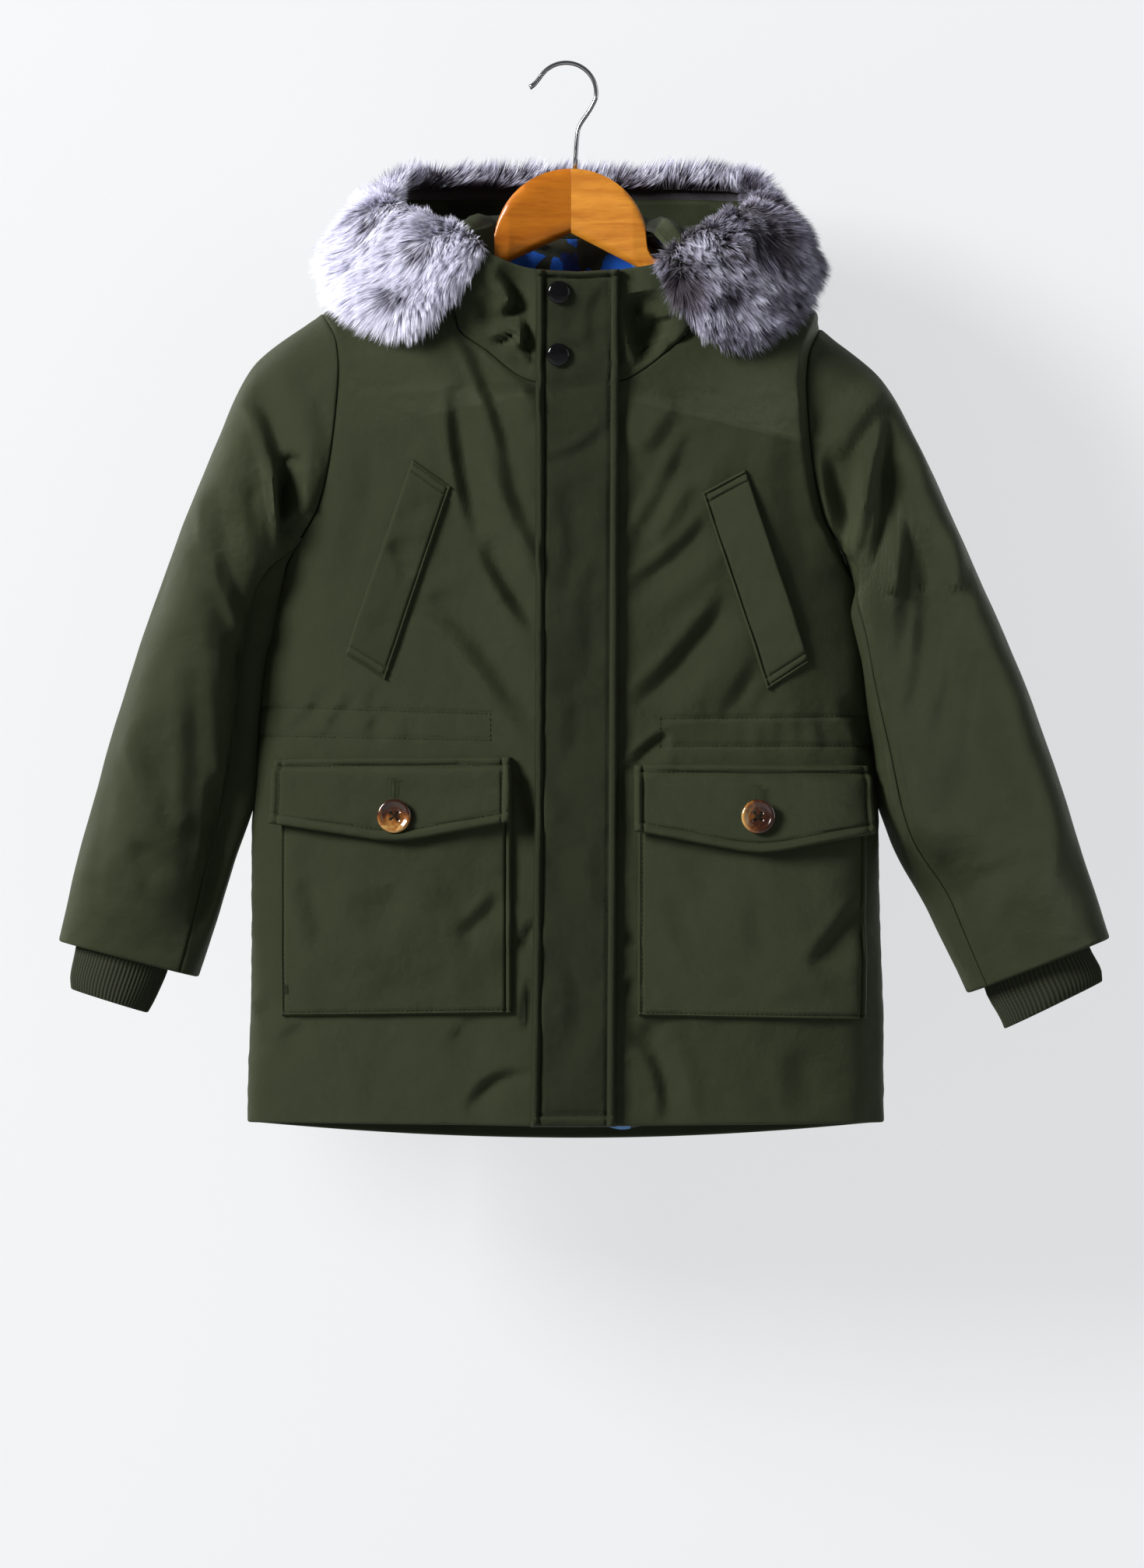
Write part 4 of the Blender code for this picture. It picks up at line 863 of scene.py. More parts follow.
SEWN = []               # rows of stitches: points, normals, and the pitch's share


def sew_skin(line, lift=0.15, front=True, pitch=1.0):
    """Stitches straight onto the front or the back, along a line of x and height."""
    line = np.array(line, float)
    along = np.concatenate([[0], np.cumsum(np.linalg.norm(np.diff(line, axis=0), axis=1))])
    at = np.linspace(0, along[-1], max(int(along[-1] / 3), 2) + 1)
    x, h = (np.interp(at, along, line[:, k]) for k in (0, 1))
    normals = torso_normal(x, h, front)
    points = torso_point(x, h, front) + normals * (body_relief(x, h, front) + lift)[:, None]
    SEWN.append((points, normals, pitch))


def sew_beside(outer, normals, sides, side, offset, trims):
    """Stitches a row at a distance from one side of a grid, ending at distances from the other sides."""
    distance, ends = sides[side], [sides[other] for other in ((2, 3) if side < 2 else (0, 1))]
    if side < 2:
        distance, outer, normals = distance.T, outer.swapaxes(0, 1), normals.swapaxes(0, 1)
        ends = [end.T for end in ends]
    places = []
    for row in range(len(outer)):
        order = np.argsort(distance[row])
        near = distance[row][order]
        if all(np.interp(offset, near, end[row][order]) >= trim for end, trim in zip(ends, trims)):
            both = np.hstack([outer[row][order], normals[row][order]])
            places.append([np.interp(offset, near, both[:, k]) for k in range(6)])
    if len(places) > 1:
        places = np.array(places)
        SEWN.append((places[:, :3], places[:, 3:], 1.0))


def pad(name, x, h, thickness, material, stitched, lift=GAP, bead=0.9, puff=0.5, seed=0, swell=0):
    """A sewn-on piece over the fronts: rows of x and height, rounded edges, rolls outside its stitches."""
    base, normals = front_skin(x, h)
    base = base + normals * body_relief(x, h, True)[..., None]
    sides = from_sides(base)
    near = np.minimum.reduce(sides)
    body = thickness - bead + puff * wobble(base, 42, seed) * step_up(near, 6, 22) + swell
    for distance, offsets in zip(sides, stitched):
        if offsets:
            body = body + bead * (1 - step_up(distance, offsets[0] * 0.55, offsets[0]))
        for offset in offsets:
            body = body - 1.25 * bell(distance, offset, 0.85)
    body = np.minimum(body, thickness + 0.8 + np.max(swell))
    outer = base + normals * (lift + np.maximum(body, 0.6) * (0.08 + 0.92 * round_over(near, 2.6)))[..., None]
    inner = base + normals * np.broadcast_to(lift, near.shape)[..., None]
    points, faces, lines = two_sided(outer, inner)
    sign, uv = faces_out(base, normals), cloth_uv(sides, lines)
    obj = new_object(name, points, sum(faces, []), [material], sign, uv)
    first = [offsets[0] if offsets else 1.5 for offsets in stitched]
    for side, offsets in enumerate(stitched):
        trims = first[2:] if side < 2 else first[:2]
        for offset in offsets:
            sew_beside(outer + normals * 0.12, normals, sides, side, offset, trims)
    return obj


# ---------------------------------------------------------------- node trees
class Value:
    """A node's output. Sums, products and powers of values make the nodes that work them out."""

    def __init__(self, net, socket):
        self.net, self.socket = net, socket

    def maths(self, operation, *others, clamp=False):
        if self.socket.type not in ("VECTOR", "RGBA"):
            return self.net("Math", self, *others, operation=operation, use_clamp=clamp)
        if operation == "MULTIPLY":
            return self.net("VectorMath", self, Scale=others[0], operation="SCALE")
        return self.net("VectorMath", self, *others, operation=operation)

    def __add__(self, other):
        return self.maths("ADD", other)

    def __sub__(self, other):
        return self.maths("SUBTRACT", other)

    def __mul__(self, other):
        return self.maths("MULTIPLY", other)

    def __pow__(self, other):
        return self.maths("POWER", other)

    def __rsub__(self, other):
        return self.net("Math", other, self, operation="SUBTRACT")

    def __rtruediv__(self, other):
        return self.net("Math", other, self, operation="DIVIDE")

    def split(self):
        return self.net("SeparateXYZ", self, out=(0, 1, 2))


FAMILIES = ("ShaderNode", "GeometryNode", "FunctionNode")


class Net:
    """A node tree. Calling it makes a node: names in capitals are its inputs, and the others its settings."""

    def __init__(self, tree):
        self.tree = tree

    def put(self, value, socket):
        if isinstance(value, Value):
            self.tree.links.new(value.socket, socket)
        else:
            socket.default_value = value

    def __call__(self, word, *first, at=None, out=0, **named):
        kind = next(family + word for family in FAMILIES if hasattr(bpy.types, family + word))
        node = self.tree.nodes.new(kind)
        inputs = dict(enumerate(first)) | (at or {})
        for key, value in named.items():
            if key[0].isupper():
                inputs[key.replace("_", " ")] = value
            else:
                setattr(node, key, value)
        for key, value in inputs.items():
            self.put(value, node.inputs[key])
        if isinstance(out, tuple):
            return [Value(self, node.outputs[each]) for each in out]
        return Value(self, node.outputs[out])

    def blend(self, factor, a, b):
        return self("Mix", at={0: factor, 6: a, 7: b}, out=2, data_type="RGBA")

    def ramp(self, value, *stops, steps="LINEAR"):
        """A colour ramp; each stop is a place and a colour or a grey."""
        made = self("ValToRGB", value)
        colours = made.socket.node.color_ramp
        colours.interpolation = steps
        while len(colours.elements) < len(stops):
            colours.elements.new(0.5)
        for element, (place, colour) in zip(colours.elements, stops):
            element.position, element.color = place, (*np.broadcast_to(colour, 3), 1)
        return made

    def give(self, **outputs):
        """Ends a node group with its outputs."""
        for title in outputs:
            kind = title if title == "Geometry" else "Float"
            self.tree.interface.new_socket(name=title, in_out="OUTPUT", socket_type="NodeSocket" + kind)
        end = self.tree.nodes.new("NodeGroupOutput")
        for title, value in outputs.items():
            self.put(value, end.inputs[title])
        return self.tree


def new_tree(name, kind, **inputs):
    """A node group with inputs and their defaults; one without a default is of the kind in its name."""
    net = Net(bpy.data.node_groups.new(name, kind + "NodeTree"))
    for title, default in inputs.items():
        socket = title if default is None else "Int" if isinstance(default, int) else "Float"
        made = net.tree.interface.new_socket(name=title, in_out="INPUT", socket_type="NodeSocket" + socket)
        if default is not None:
            made.default_value = default
    given = net.tree.nodes.new("NodeGroupInput").outputs
    return net, *(Value(net, given[title]) for title in inputs)


def grow(obj, tree, **values):
    """Runs a Geometry Nodes tree on an object and keeps what it makes as the object's plain mesh."""
    modifier = obj.modifiers.new(tree.name, "NODES")
    modifier.node_group = tree
    for item in tree.interface.items_tree:
        if item.item_type == "SOCKET" and item.in_out == "INPUT" and item.name in values:
            modifier[item.identifier] = values[item.name]
    mesh = evaluated_mesh(obj, preserve_all_data_layers=True)
    obj.modifiers.remove(modifier)
    old, obj.data = obj.data, mesh
    bpy.data.meshes.remove(old)


def stitch_tree():
    """Stitches, one after another along each edge line, lying flat on the cloth."""
    net, lines, pitch, length, thread, material = new_tree(
        "rows of stitches", "Geometry",
        Geometry=None, Pitch=0.0032, Length=0.0024, Thread=0.0005, Material=None,
    )
    spaced = net("ResampleCurve", Curve=net("MeshToCurve", lines), Length=pitch, mode="LENGTH")
    up = net("InputNamedAttribute", "up", data_type="FLOAT_VECTOR")
    turn = net("AlignRotationToVector", Vector=net("InputTangent"), axis="X")
    turn = net("AlignRotationToVector", Rotation=turn, Vector=up, axis="Z", pivot_axis="X")
    stitch = net("MeshUVSphere", Segments=5, Rings=3, Radius=0.5)
    stitch = net("Transform", stitch, Scale=net("CombineXYZ", thread, thread, length))
    stitch = net("Transform", stitch, Rotation=net("EulerToRotation", (0, math.pi / 2, 0)))
    rows = net("InstanceOnPoints", spaced, Instance=stitch, Rotation=turn)
    return net.give(Geometry=net("SetMaterial", net("RealizeInstances", rows), Material=material))


def pile_tree():
    """Tufted pile on a backing: tapered strands that lean with the comb and gather to their tuft's middle."""
    net, backing, density, length, width, lean, droop, tuft, gather, seed, material = new_tree(
        "tufted pile", "Geometry",
        Geometry=None, Density=9e5, Length=0.018, Width=0.0007, Lean=0.8, Droop=0.3, Tuft=0.009, Gather=0.45,
        Seed=1, Material=None,
    )

    def noise(place, scale, detail=0.0):
        return net("TexNoise", Vector=place, Scale=scale, Detail=detail, out="Color") - (0.5, 0.5, 0.5)

    def stored(title, kind="FLOAT_VECTOR"):
        return net("InputNamedAttribute", title, data_type=kind)

    def store(geometry, title, value, kind="FLOAT_VECTOR"):
        return net("StoreNamedAttribute", geometry, Name=title, Value=value, data_type=kind, domain="POINT")

    def between(low, high, seed):
        return net("RandomValue", at={2: low, 3: high}, Seed=seed, data_type="FLOAT", out=1)

    spread = "DistributePointsOnFaces"
    points, normal = net(spread, backing, Density=density, Seed=seed, out=("Points", "Normal"))
    place, comb = net("InputPosition"), stored("comb")
    way = normal + comb * lean + noise(place, 28.0, 1.0) * 1.6 + noise(place, 420.0) * 0.9
    turn = net("AlignRotationToVector", Vector=way, axis="Z")
    turn = net("AlignRotationToVector", Rotation=turn, Vector=normal, axis="Y", pivot_axis="Z")
    twist = net("EulerToRotation", net("CombineXYZ", Z=between(-0.7, 0.7, 5)))
    turn = net("RotateRotation", turn, twist, rotation_space="LOCAL")
    points = store(store(points, "root", place), "sweep", comb)

    line = net("CurvePrimitiveLine", Start=(0, 0, 0), End=(0, 0, 1))
    line = net("ResampleCurve", Curve=line, Count=3, mode="COUNT")
    along = net("SplineParameter")
    line = store(line, "along", along, "FLOAT")
    profile = net("CurvePrimitiveLine", Start=(-0.5, 0, 0), End=(0.5, 0, 0))
    profile = net("Transform", profile, Scale=net("CombineXYZ", width, 1.0, 1.0))
    strand = net("CurveToMesh", line, Profile_Curve=profile, Scale=1.0 - along**1.7)
    strand = net("MergeByDistance", strand, Distance=1e-5)
    tall = between(0.7, 1.2, 9) * stored("reach", "FLOAT") * length
    size = net("CombineXYZ", 1.0, 1.0, tall)
    pile = net("InstanceOnPoints", points, Instance=strand, Rotation=turn, Scale=size)
    pile = net("RealizeInstances", pile)

    root = stored("root")
    bend = noise(root, 90.0)
    place = root + bend * 0.008
    cells = "TexVoronoi"
    middle, chance = net(cells, Vector=place, Scale=1.0 / tuft, feature="F1", out=("Position", "Color"))
    pull = (middle - root) * gather + bend * 0.006 + stored("sweep") * (length * droop)
    pile = net("SetPosition", pile, Offset=pull * stored("along", "FLOAT") ** 1.4)
    pile = store(pile, "tuft", chance.split()[0], "FLOAT")
    return net.give(Geometry=net("SetMaterial", pile, Material=material))


def rib_tree():
    """Knitted ribs: moves a fine tube's surface in and out as its own round-about place runs."""
    net, tube, ribs, depth, material = new_tree(
        "knitted ribs", "Geometry", Geometry=None, Ribs=70.0, Depth=0.0004, Material=None
    )
    around = net("InputNamedAttribute", "around", data_type="FLOAT")
    wave = (around * ribs * TURN).maths("SINE") * depth
    moved = net("RealizeInstances", net("SetPosition", tube, Offset=net("InputNormal") * wave))
    return net.give(Geometry=net("SetMaterial", moved, Material=material))


# ---------------------------------------------------------------- finishes
def weave_group():
    """A diagonal twill: its height, and a mask of its raised threads."""
    net, vector, pitch = new_tree("twill weave", "Shader", Vector=None, Pitch=0.006)
    place = vector * (1.0 / pitch)
    across, down, _ = place.split()
    diagonal = ((across + down * 1.7) * 6.2832).maths("SINE")
    threads = ((across - down) * 18.85).maths("SINE")
    grain = net("TexNoise", Vector=place, Scale=0.9, Detail=3.0)
    height = diagonal * 0.5 + threads * 0.2 + grain * 0.8
    return net.give(Height=height, Threads=diagonal.maths("MULTIPLY_ADD", 0.5, 0.5))


def cloud_group():
    """Slow, cloudy unevenness, as a mask about one half."""
    net, vector, size = new_tree("cloudy unevenness", "Shader", Vector=None, Size=0.05)
    return net.give(Mask=net("TexNoise", Vector=vector, Scale=1.0 / size, Detail=4.0))


def solid(colour, share=1.0):
    """A colour for a socket, made darker or lighter."""
    return (*scaled(colour, share), 1)


def scaled(colour, share):
    return tuple(min(value * share, 1.0) for value in colour)


class Finish(Net):
    """A material on a Principled shader: plain values for its sockets, and the nodes that feed the others."""

    def __init__(self, name, colour, **shader):
        self.material = bpy.data.materials.new(name)
        self.material.use_nodes = True
        self.material.diffuse_color = solid(colour)
        super().__init__(self.material.node_tree)
        self.shader = self.tree.nodes["Principled BSDF"]
        self.feed(base_color=solid(colour), **shader)
        self.places = dict(zip(("UV", "Object"), self("TexCoord", out=("UV", "Object"))))

    def feed(self, **values):
        for key, value in values.items():
            self.put(value, self.shader.inputs[key.replace("_", " ").title().replace("Ior", "IOR")])
        return self.material

    def cloud(self, size):
        tree = bpy.data.node_groups.get("cloudy unevenness") or cloud_group()
        return self("Group", node_tree=tree, Vector=self.places["Object"], Size=size)

    def mark(self, name):
        """A value that the mesh's points carry."""
        return self("Attribute", attribute_name=name, out="Fac")

    def bump(self, height, strength, distance):
        self.feed(normal=self("Bump", Height=height, Strength=strength, Distance=distance))


def cloth_finish(name, colour, rough, pitch=0.006, sheen=0.08):
    """Satin twill: fine diagonal weave, a little uneven in colour and gloss, with a soft sheen."""
    made = Finish(
        name, colour, roughness=rough, sheen_weight=sheen, sheen_roughness=0.3, specular_ior_level=0.27,
        sheen_tint=solid(colour, 14), specular_tint=(0.86, 1.0, 0.66, 1),
    )
    tree, place = bpy.data.node_groups.get("twill weave") or weave_group(), made.places["UV"]
    height, threads = made("Group", node_tree=tree, Vector=place, Pitch=pitch, out=("Height", "Threads"))
    cloud = made.cloud(0.04)
    tone = made.blend(cloud, solid(colour, 0.86), solid(colour, 1.16))
    tone = made.blend(made.cloud(0.0016) * 0.5, tone, solid(colour, 1.35))
    tone = made.blend(threads * 0.22, tone, solid(colour, 0.6))
    made.bump(height * 0.06 + made.cloud(0.016) * 1.2, 1.0, 0.0016)
    return made.feed(base_color=tone, roughness=(cloud - 0.5).maths("MULTIPLY_ADD", 0.18, rough))


def camo_finish(colours):
    """A thin lining printed in plain blue and olive patches."""
    pale, deep, navy, olive = colours.camo_pale, colours.camo_deep, colours.camo_navy, colours.shell
    made = Finish("camo lining", deep, roughness=0.42, sheen_weight=0.15)
    place = made.places["Object"]
    bent = place + made("TexNoise", Vector=place, Scale=60.0, Detail=2.0, out="Color") * 0.018
    patch = made("TexVoronoi", Vector=bent, Scale=62.0, out="Color", feature="F1").split()[0]
    stops = (0.0, deep), (0.36, scaled(olive, 1.5)), (0.62, navy), (0.70, scaled(olive, 2.6))
    stops += (0.80, pale), (0.84, deep)
    patches = made.ramp(patch, *stops, steps="CONSTANT")
    fine = made.cloud(0.002)
    made.bump(fine, 0.2, 0.0003)
    return made.feed(base_color=made.blend(fine * 0.25, patches, (0.02, 0.03, 0.06, 1)))


def pile_finish(colours):
    """Faux fur: dark roots, lavender-grey pile and pale tips, some tufts darker than others."""
    root = colours.fur_root
    made = Finish("faux fur pile", colours.fur_mid, roughness=0.75, sheen_weight=0.35, sheen_roughness=0.4,
                  specular_ior_level=0.2)
    # the shade mark shifts the pile toward its roots' colour: painted shade on the right and back strips and
    # in the partings, painted light on the left strip
    shift = (made.mark("tuft") - 0.5) * 0.30 + (made.cloud(0.028) - 0.5) * 0.8 + made.mark("shade")
    up = made.mark("along").maths("SUBTRACT", shift, clamp=True)
    stops = (0.0, root), (0.25, scaled(root, 2.0)), (0.50, colours.fur_mid), (0.85, colours.fur_tip)
    return made.feed(base_color=made.ramp(up, *stops))


def backing_finish(colours):
    made = Finish("fur backing", colours.fur_root, roughness=0.9, sheen_weight=0.2)
    knit = made.cloud(0.0012)
    made.bump(knit, 0.5, 0.0005)
    # painted shade and light: the noise that bumps the knit also darkens its hollows and lightens its tops
    return made.feed(base_color=made.blend(knit, solid(colours.fur_root, 0.5), solid(colours.fur_root, 1.7)))


def rib_finish(colours):
    made = Finish("rib knit", colours.rib, roughness=0.9, sheen_weight=0.06, sheen_roughness=0.5,
                  specular_ior_level=0.2)
    ribs = (made.mark("around") * (TURN * CUFF_RIBS)).maths("SINE")
    loops = (made.mark("down") * (TURN * CUFF_LOOPS)).maths("SINE")
    mask = (ribs + loops * 0.35).maths("MULTIPLY_ADD", 0.35, 0.5, clamp=True)
    made.bump(mask, 0.4, 0.0004)
    # painted shade and light: the rib height that drives the bump also darkens the knit's grooves and
    # lightens its ribs
    return made.feed(base_color=made.blend(mask, solid(colours.rib, 0.45), solid(colours.rib, 1.3)))


def wood_finish(colours, side):
    """Varnished honey-coloured wood, its grain down the planks; the left plank is the darker."""
    # painted light and shade: the left plank's tone is darkened and the right's lightened for the way the key
    # light falls on them
    tone = np.array((0.86, 0.68, 0.3) if side == LEFT else (1.05, 1.05, 0.9))
    light, dark = tone * colours.wood_light, tone * colours.wood_dark
    made = Finish(
        "varnished wood " + SIDES[side], light, roughness=0.36, coat_weight=0.3, coat_roughness=0.15,
        specular_ior_level=0.3,
    )
    place = made.places["Object"]
    turned_place = made("Mapping", place, Scale=(14.0, 60.0, 120.0), Rotation=(0, -0.5 * side, 0))
    bands = made("TexNoise", Vector=turned_place, Scale=1.0, Detail=5.0, Roughness=0.6, Distortion=0.6)
    pores = made("TexNoise", Vector=made("Mapping", place, Scale=(60.0, 600.0, 900.0)), Scale=1.0, Detail=2.0)
    tone = made.ramp(bands, (0.3, dark), (0.52, mix(dark, light, 0.6)), (0.72, light))
    made.bump(pores, 0.08, 0.0003)
    in_pores = made.ramp(pores, (0.55, 0.0), (0.75, 0.35))
    return made.feed(base_color=made.blend(in_pores, tone, solid(dark, 0.6)))


def chrome_finish():
    made = Finish("chrome wire", (0.6, 0.6, 0.62), metallic=1.0, roughness=0.14)
    # painted reflections: lighter face-on and dark toward the wire's edges, standing in for dark surroundings
    # mirrored in the chrome
    edge = made("LayerWeight", Blend=0.35, out="Facing")
    tone = made.ramp(edge, (0.0, (0.50, 0.50, 0.52)), (0.4, (0.26, 0.26, 0.27)), (0.7, (0.05, 0.05, 0.055)))
    return made.feed(base_color=tone, roughness=made.cloud(0.004).maths("MULTIPLY_ADD", 0.12, 0.08))


def snap_finish():
    made = Finish("black enamel", (0.002, 0.002, 0.0025), roughness=0.1, specular_ior_level=0.35)
    dust = made.cloud(0.0012)
    tone = made.blend(dust, (0.001, 0.001, 0.0015, 1), (0.004, 0.004, 0.0045, 1))
    return made.feed(base_color=tone, roughness=made.ramp(dust, (0.55, 0.07), (0.8, 0.15)))


def tortoise_finish(colours, side):
    """Marbled horn: brown, with amber and cream at the left button's foot and the right button's left."""
    brown = colours.horn_brown
    made = Finish(f"tortoise {SIDES[side]}", brown, roughness=0.18, coat_weight=0.7, coat_roughness=0.06,
                  specular_ior_level=0.5)
    place = made.places["Object"]
    x, h = BUTTONS[side]
    run = (place - tuple(world([x, 0, h]))).split()[0 if side == RIGHT else 2] * -45.0
    swirl = made("TexNoise", Vector=place, Scale=120.0, Detail=3.0, Distortion=1.5)
    run = (run + (swirl - 0.5) * 1.1).maths("ADD", 0.5, clamp=True)
    stops = (0.15, scaled(brown, 0.5)), (0.42, brown), (0.66, colours.horn_amber), (0.95, colours.horn_cream)
    return made.feed(base_color=made.ramp(run, *stops), roughness=swirl.maths("MULTIPLY_ADD", 0.1, 0.12))


FINISH = {}


def finishes():
    """Makes every finish once, from the scene's colours."""
    if FINISH:
        return FINISH
    colours = bpy.context.scene.parka_colours
    shell = colours.shell
    FINISH.update(
        shell=cloth_finish("olive twill shell", shell, 0.56),
        # painted shade: the shell's olive darkened, standing in for the shade seen on the placket; the hood
        # centre's inner side takes it too
        placket=cloth_finish("olive twill, other grain", scaled(shell, 0.55), 0.52),
        dark=cloth_finish("dark olive taffeta", colours.inner, 0.55, pitch=0.004),
        tab=cloth_finish("dark olive flap", scaled(shell, 0.75), 0.6),
        # painted shade: the thread is the shell's olive darkened, standing in for the shade in the stitches'
        # grooves
        thread=cloth_finish("olive thread", scaled(shell, 0.3), 0.6, pitch=0.002, sheen=0.05),
        camo=camo_finish(colours),
        pile=pile_finish(colours),
        backing=backing_finish(colours),
        rib=rib_finish(colours),
        chrome=chrome_finish(),
        snap=snap_finish(),
    )
    for side, word in SIDES.items():
        FINISH["wood_" + word] = wood_finish(colours, side)
        FINISH["horn_" + word] = tortoise_finish(colours, side)
    return FINISH


# ---------------------------------------------------------------- body, sleeves and hood
def row_ends(side, value):
    """Inner and outer ends of a front's rows; value is 0 at the hem, 1 at the armpit, then 1 more a row."""
    rows = np.array(UPPER_ROWS)
    index, order = np.clip(value - 1, 0, None), np.arange(len(rows))
    down, place = np.interp(index, order, rows[:, 0]), np.interp(index, order, rows[:, 1])
    low = np.minimum(value, 1) * ARMPIT_H
    width = torso_section(np.full_like(low, side), low)[0]
    hole_x, hole_h = armhole(side, down)
    neck = table(HOOD[side], np.maximum(place, 0))
    centre = mix(HOOD[side][0][2], ARMPIT_H, -place)
    inner_x, inner_h = np.where(place > 0, neck[:, 0], 0), np.where(place > 0, neck[:, 1], centre)
    lower = value < 1
    return (
        np.where(lower, 0, inner_x), np.where(lower, low, inner_h),
        np.where(lower, side * width, hole_x), np.where(lower, low, hole_h), down,
    )


def across_shares(step):
    """Shares of a half-width at even steps round a middling section of the torso."""
    share = np.linspace(0, 1, 3000)
    wide, deep = MIDDLING_SECTION
    curve = np.stack([share * wide, deep * (1 - share**ROUND) ** (1 / ROUND)], -1)
    return even_places(share, curve, step)


def row_values(side, step):
    """Values for row_ends, closer together over the waist's channel."""
    value = np.linspace(0, len(UPPER_ROWS), 4000)
    rows = even_places(value, np.stack(row_ends(side, value)[:4], -1) / 1.3, step)
    waist = np.arange(*WAIST_ROWS) / ARMPIT_H
    return np.sort(np.concatenate([rows[(rows < waist[0] - 0.004) | (rows > waist[-1] + 0.004)], waist]))


def fade_at(distance, reach):
    return step_up(distance, 0, reach)


def pucker(grid, distance):
    """Small gathers beside a seam."""
    return 0.42 * wobble(grid, 9, 11) * bell(distance, 0, 8) * step_up(distance, 0, 3)


def front_panel(side, step):
    value, share = row_values(side, step), across_shares(step)
    inner_x, inner_h, outer_x, outer_h, _ = (column[:, None] for column in row_ends(side, value))
    x, h = mix(inner_x, outer_x, share), mix(inner_h, outer_h, share)
    h = h - FRONT_HEM_DROP * (1 - share) ** 2 * np.clip(1 - h / 40, 0, 1)
    grid = torso_point(x, h, True)
    sides = from_sides(grid)
    above = step_up(h, 470, 500) * step_up(np.abs(x), 26, 34)
    fade = fade_at(sides[3], 9) * mix(1, fade_at(sides[2], 9), above)
    return grid, body_relief(x, h, True) * fade + pucker(grid, sides[3])


def back_panel(step):
    value, share = row_values(LEFT, step), across_shares(step)
    share = np.concatenate([-share[:0:-1], share])
    down = row_ends(LEFT, value)[4]
    up, side = 1 - down[:, None], np.where(share < 0, LEFT, RIGHT)
    low_h = np.minimum(value, 1)[:, None] * ARMPIT_H
    width = torso_section(share * np.ones_like(low_h), low_h * np.ones_like(share))[0]
    drop = BACK_HEM_DROP * (1 - share**2) * np.clip(1 - low_h / 55, 0, 1)
    top_x, top_h, hole_x, hole_h, pit_x = (np.zeros((len(value), len(share))) for _ in range(5))
    for each in SIDES:
        on = side == each
        part = np.abs(share[on])
        neck = table(HOOD[each], 1 - np.minimum(part / NECK_SHARE, 1) * (1 - NECK_POINT_WAY))
        corner = table(HOOD[each], NECK_POINT_WAY)[0]
        ridge_x = mix(corner, SHOULDER[each][0], np.clip((part - NECK_SHARE) / (1 - NECK_SHARE), 0, 1))
        top_x[:, on] = np.where(part <= NECK_SHARE, neck[:, 0], ridge_x)
        top_h[:, on] = np.where(part <= NECK_SHARE, neck[:, 1], ridge_height(ridge_x))
        x, h = armhole(each, down)
        hole_x[:, on] = (x - mix(ARMPIT[each][0], SHOULDER[each][0], 1 - down))[:, None]
        hole_h[:, on] = (h - mix(ARMPIT[each][1], SHOULDER[each][1], 1 - down))[:, None]
        pit_x[:, on] = part * ARMPIT[each][0]
    upper_x = mix(pit_x, top_x, up) + hole_x * np.abs(share)
    upper_h = mix(ARMPIT_H, top_h, up) + hole_h * np.abs(share)
    lower = value[:, None] < 1
    x, h = np.where(lower, share * width, upper_x), np.where(lower, low_h - drop, upper_h)
    grid = torso_point(x, h, False)
    sides = from_sides(grid)
    beside = np.minimum(sides[2], sides[3])
    return grid, body_relief(x, h, False) * fade_at(beside, 9) * fade_at(sides[1], 9) + pucker(grid, beside)


def ridge_height(x):
    """The height of the shoulder's ridge at this x."""
    low, high = np.full_like(x, 530.0), np.full_like(x, 612.0)
    for _ in range(36):
        middle = (low + high) / 2
        wide = torso_section(x, middle)[0] > np.abs(x)
        low, high = np.where(wide, middle, low), np.where(wide, high, middle)
    return low


def sleeve_panel(side, first_turn, last_turn, step):
    fine = np.linspace(0, 1, 500)
    share = even_places(fine, sleeve_point(side, fine, np.full(500, 0.25)), step)
    turns = np.linspace(first_turn, last_turn, 900)
    turns = even_places(turns, sleeve_point(side, np.full(900, 0.35), turns), step)
    down, turn = np.meshgrid(share, turns, indexing="ij")
    grid = sleeve_point(side, down.ravel(), turn.ravel()).reshape(*down.shape, 3)
    sides = from_sides(grid)
    seams = np.minimum(sides[2], sides[3])
    x, h, front = grid[..., 0], grid[..., 2], turn % 2 < 1
    facing = step_up(np.abs(grid[..., 1]) / 36, 0.12, 0.8)

    gain = np.where(h > 360, 1.9, 1.8 if side == LEFT else 1.0)
    front_folds, back_folds = fold_relief(SLEEVE_FRONT_FOLDS, x, h), fold_relief(SLEEVE_BACK_FOLDS, x, h)
    relief = np.where(front, gain * front_folds, 2.0 * back_folds) * facing
    relief = relief + (1.0 * wobble(grid, 60, 21) + 0.3 * wobble(grid, 22, 22)) * (0.25 + 0.75 * facing)
    relief = relief * fade_at(sides[0], 7) * fade_at(seams, 6) + pucker(grid, np.minimum(sides[0], seams))

    across = turn if side == LEFT else 1 - turn              # from the left of the view to the right
    high, form = step_up(h, 150, 215), 0.0                   # high is 1 up the sleeve and 0 low down
    for upper, lower, upper_place, lower_place, reach in SLEEVE_SWELLS[side]:
        form = form + mix(lower, upper, high) * bell(across, mix(lower_place, upper_place, high), reach)
    form = np.where(front, form, 4.0 * np.sin(np.pi * turn) ** 2)
    relief += form * facing * step_up(down, 0.02, 0.22) * fade_at(sides[1], 70)
    touching = sum(amount * bell(h, place, reach) for amount, place, reach in SLEEVE_TOUCHES[side])
    relief += touching * np.clip(-np.cos(np.pi * turn), 0, 1) ** 3 * fade_at(seams, 6)
    return grid, relief


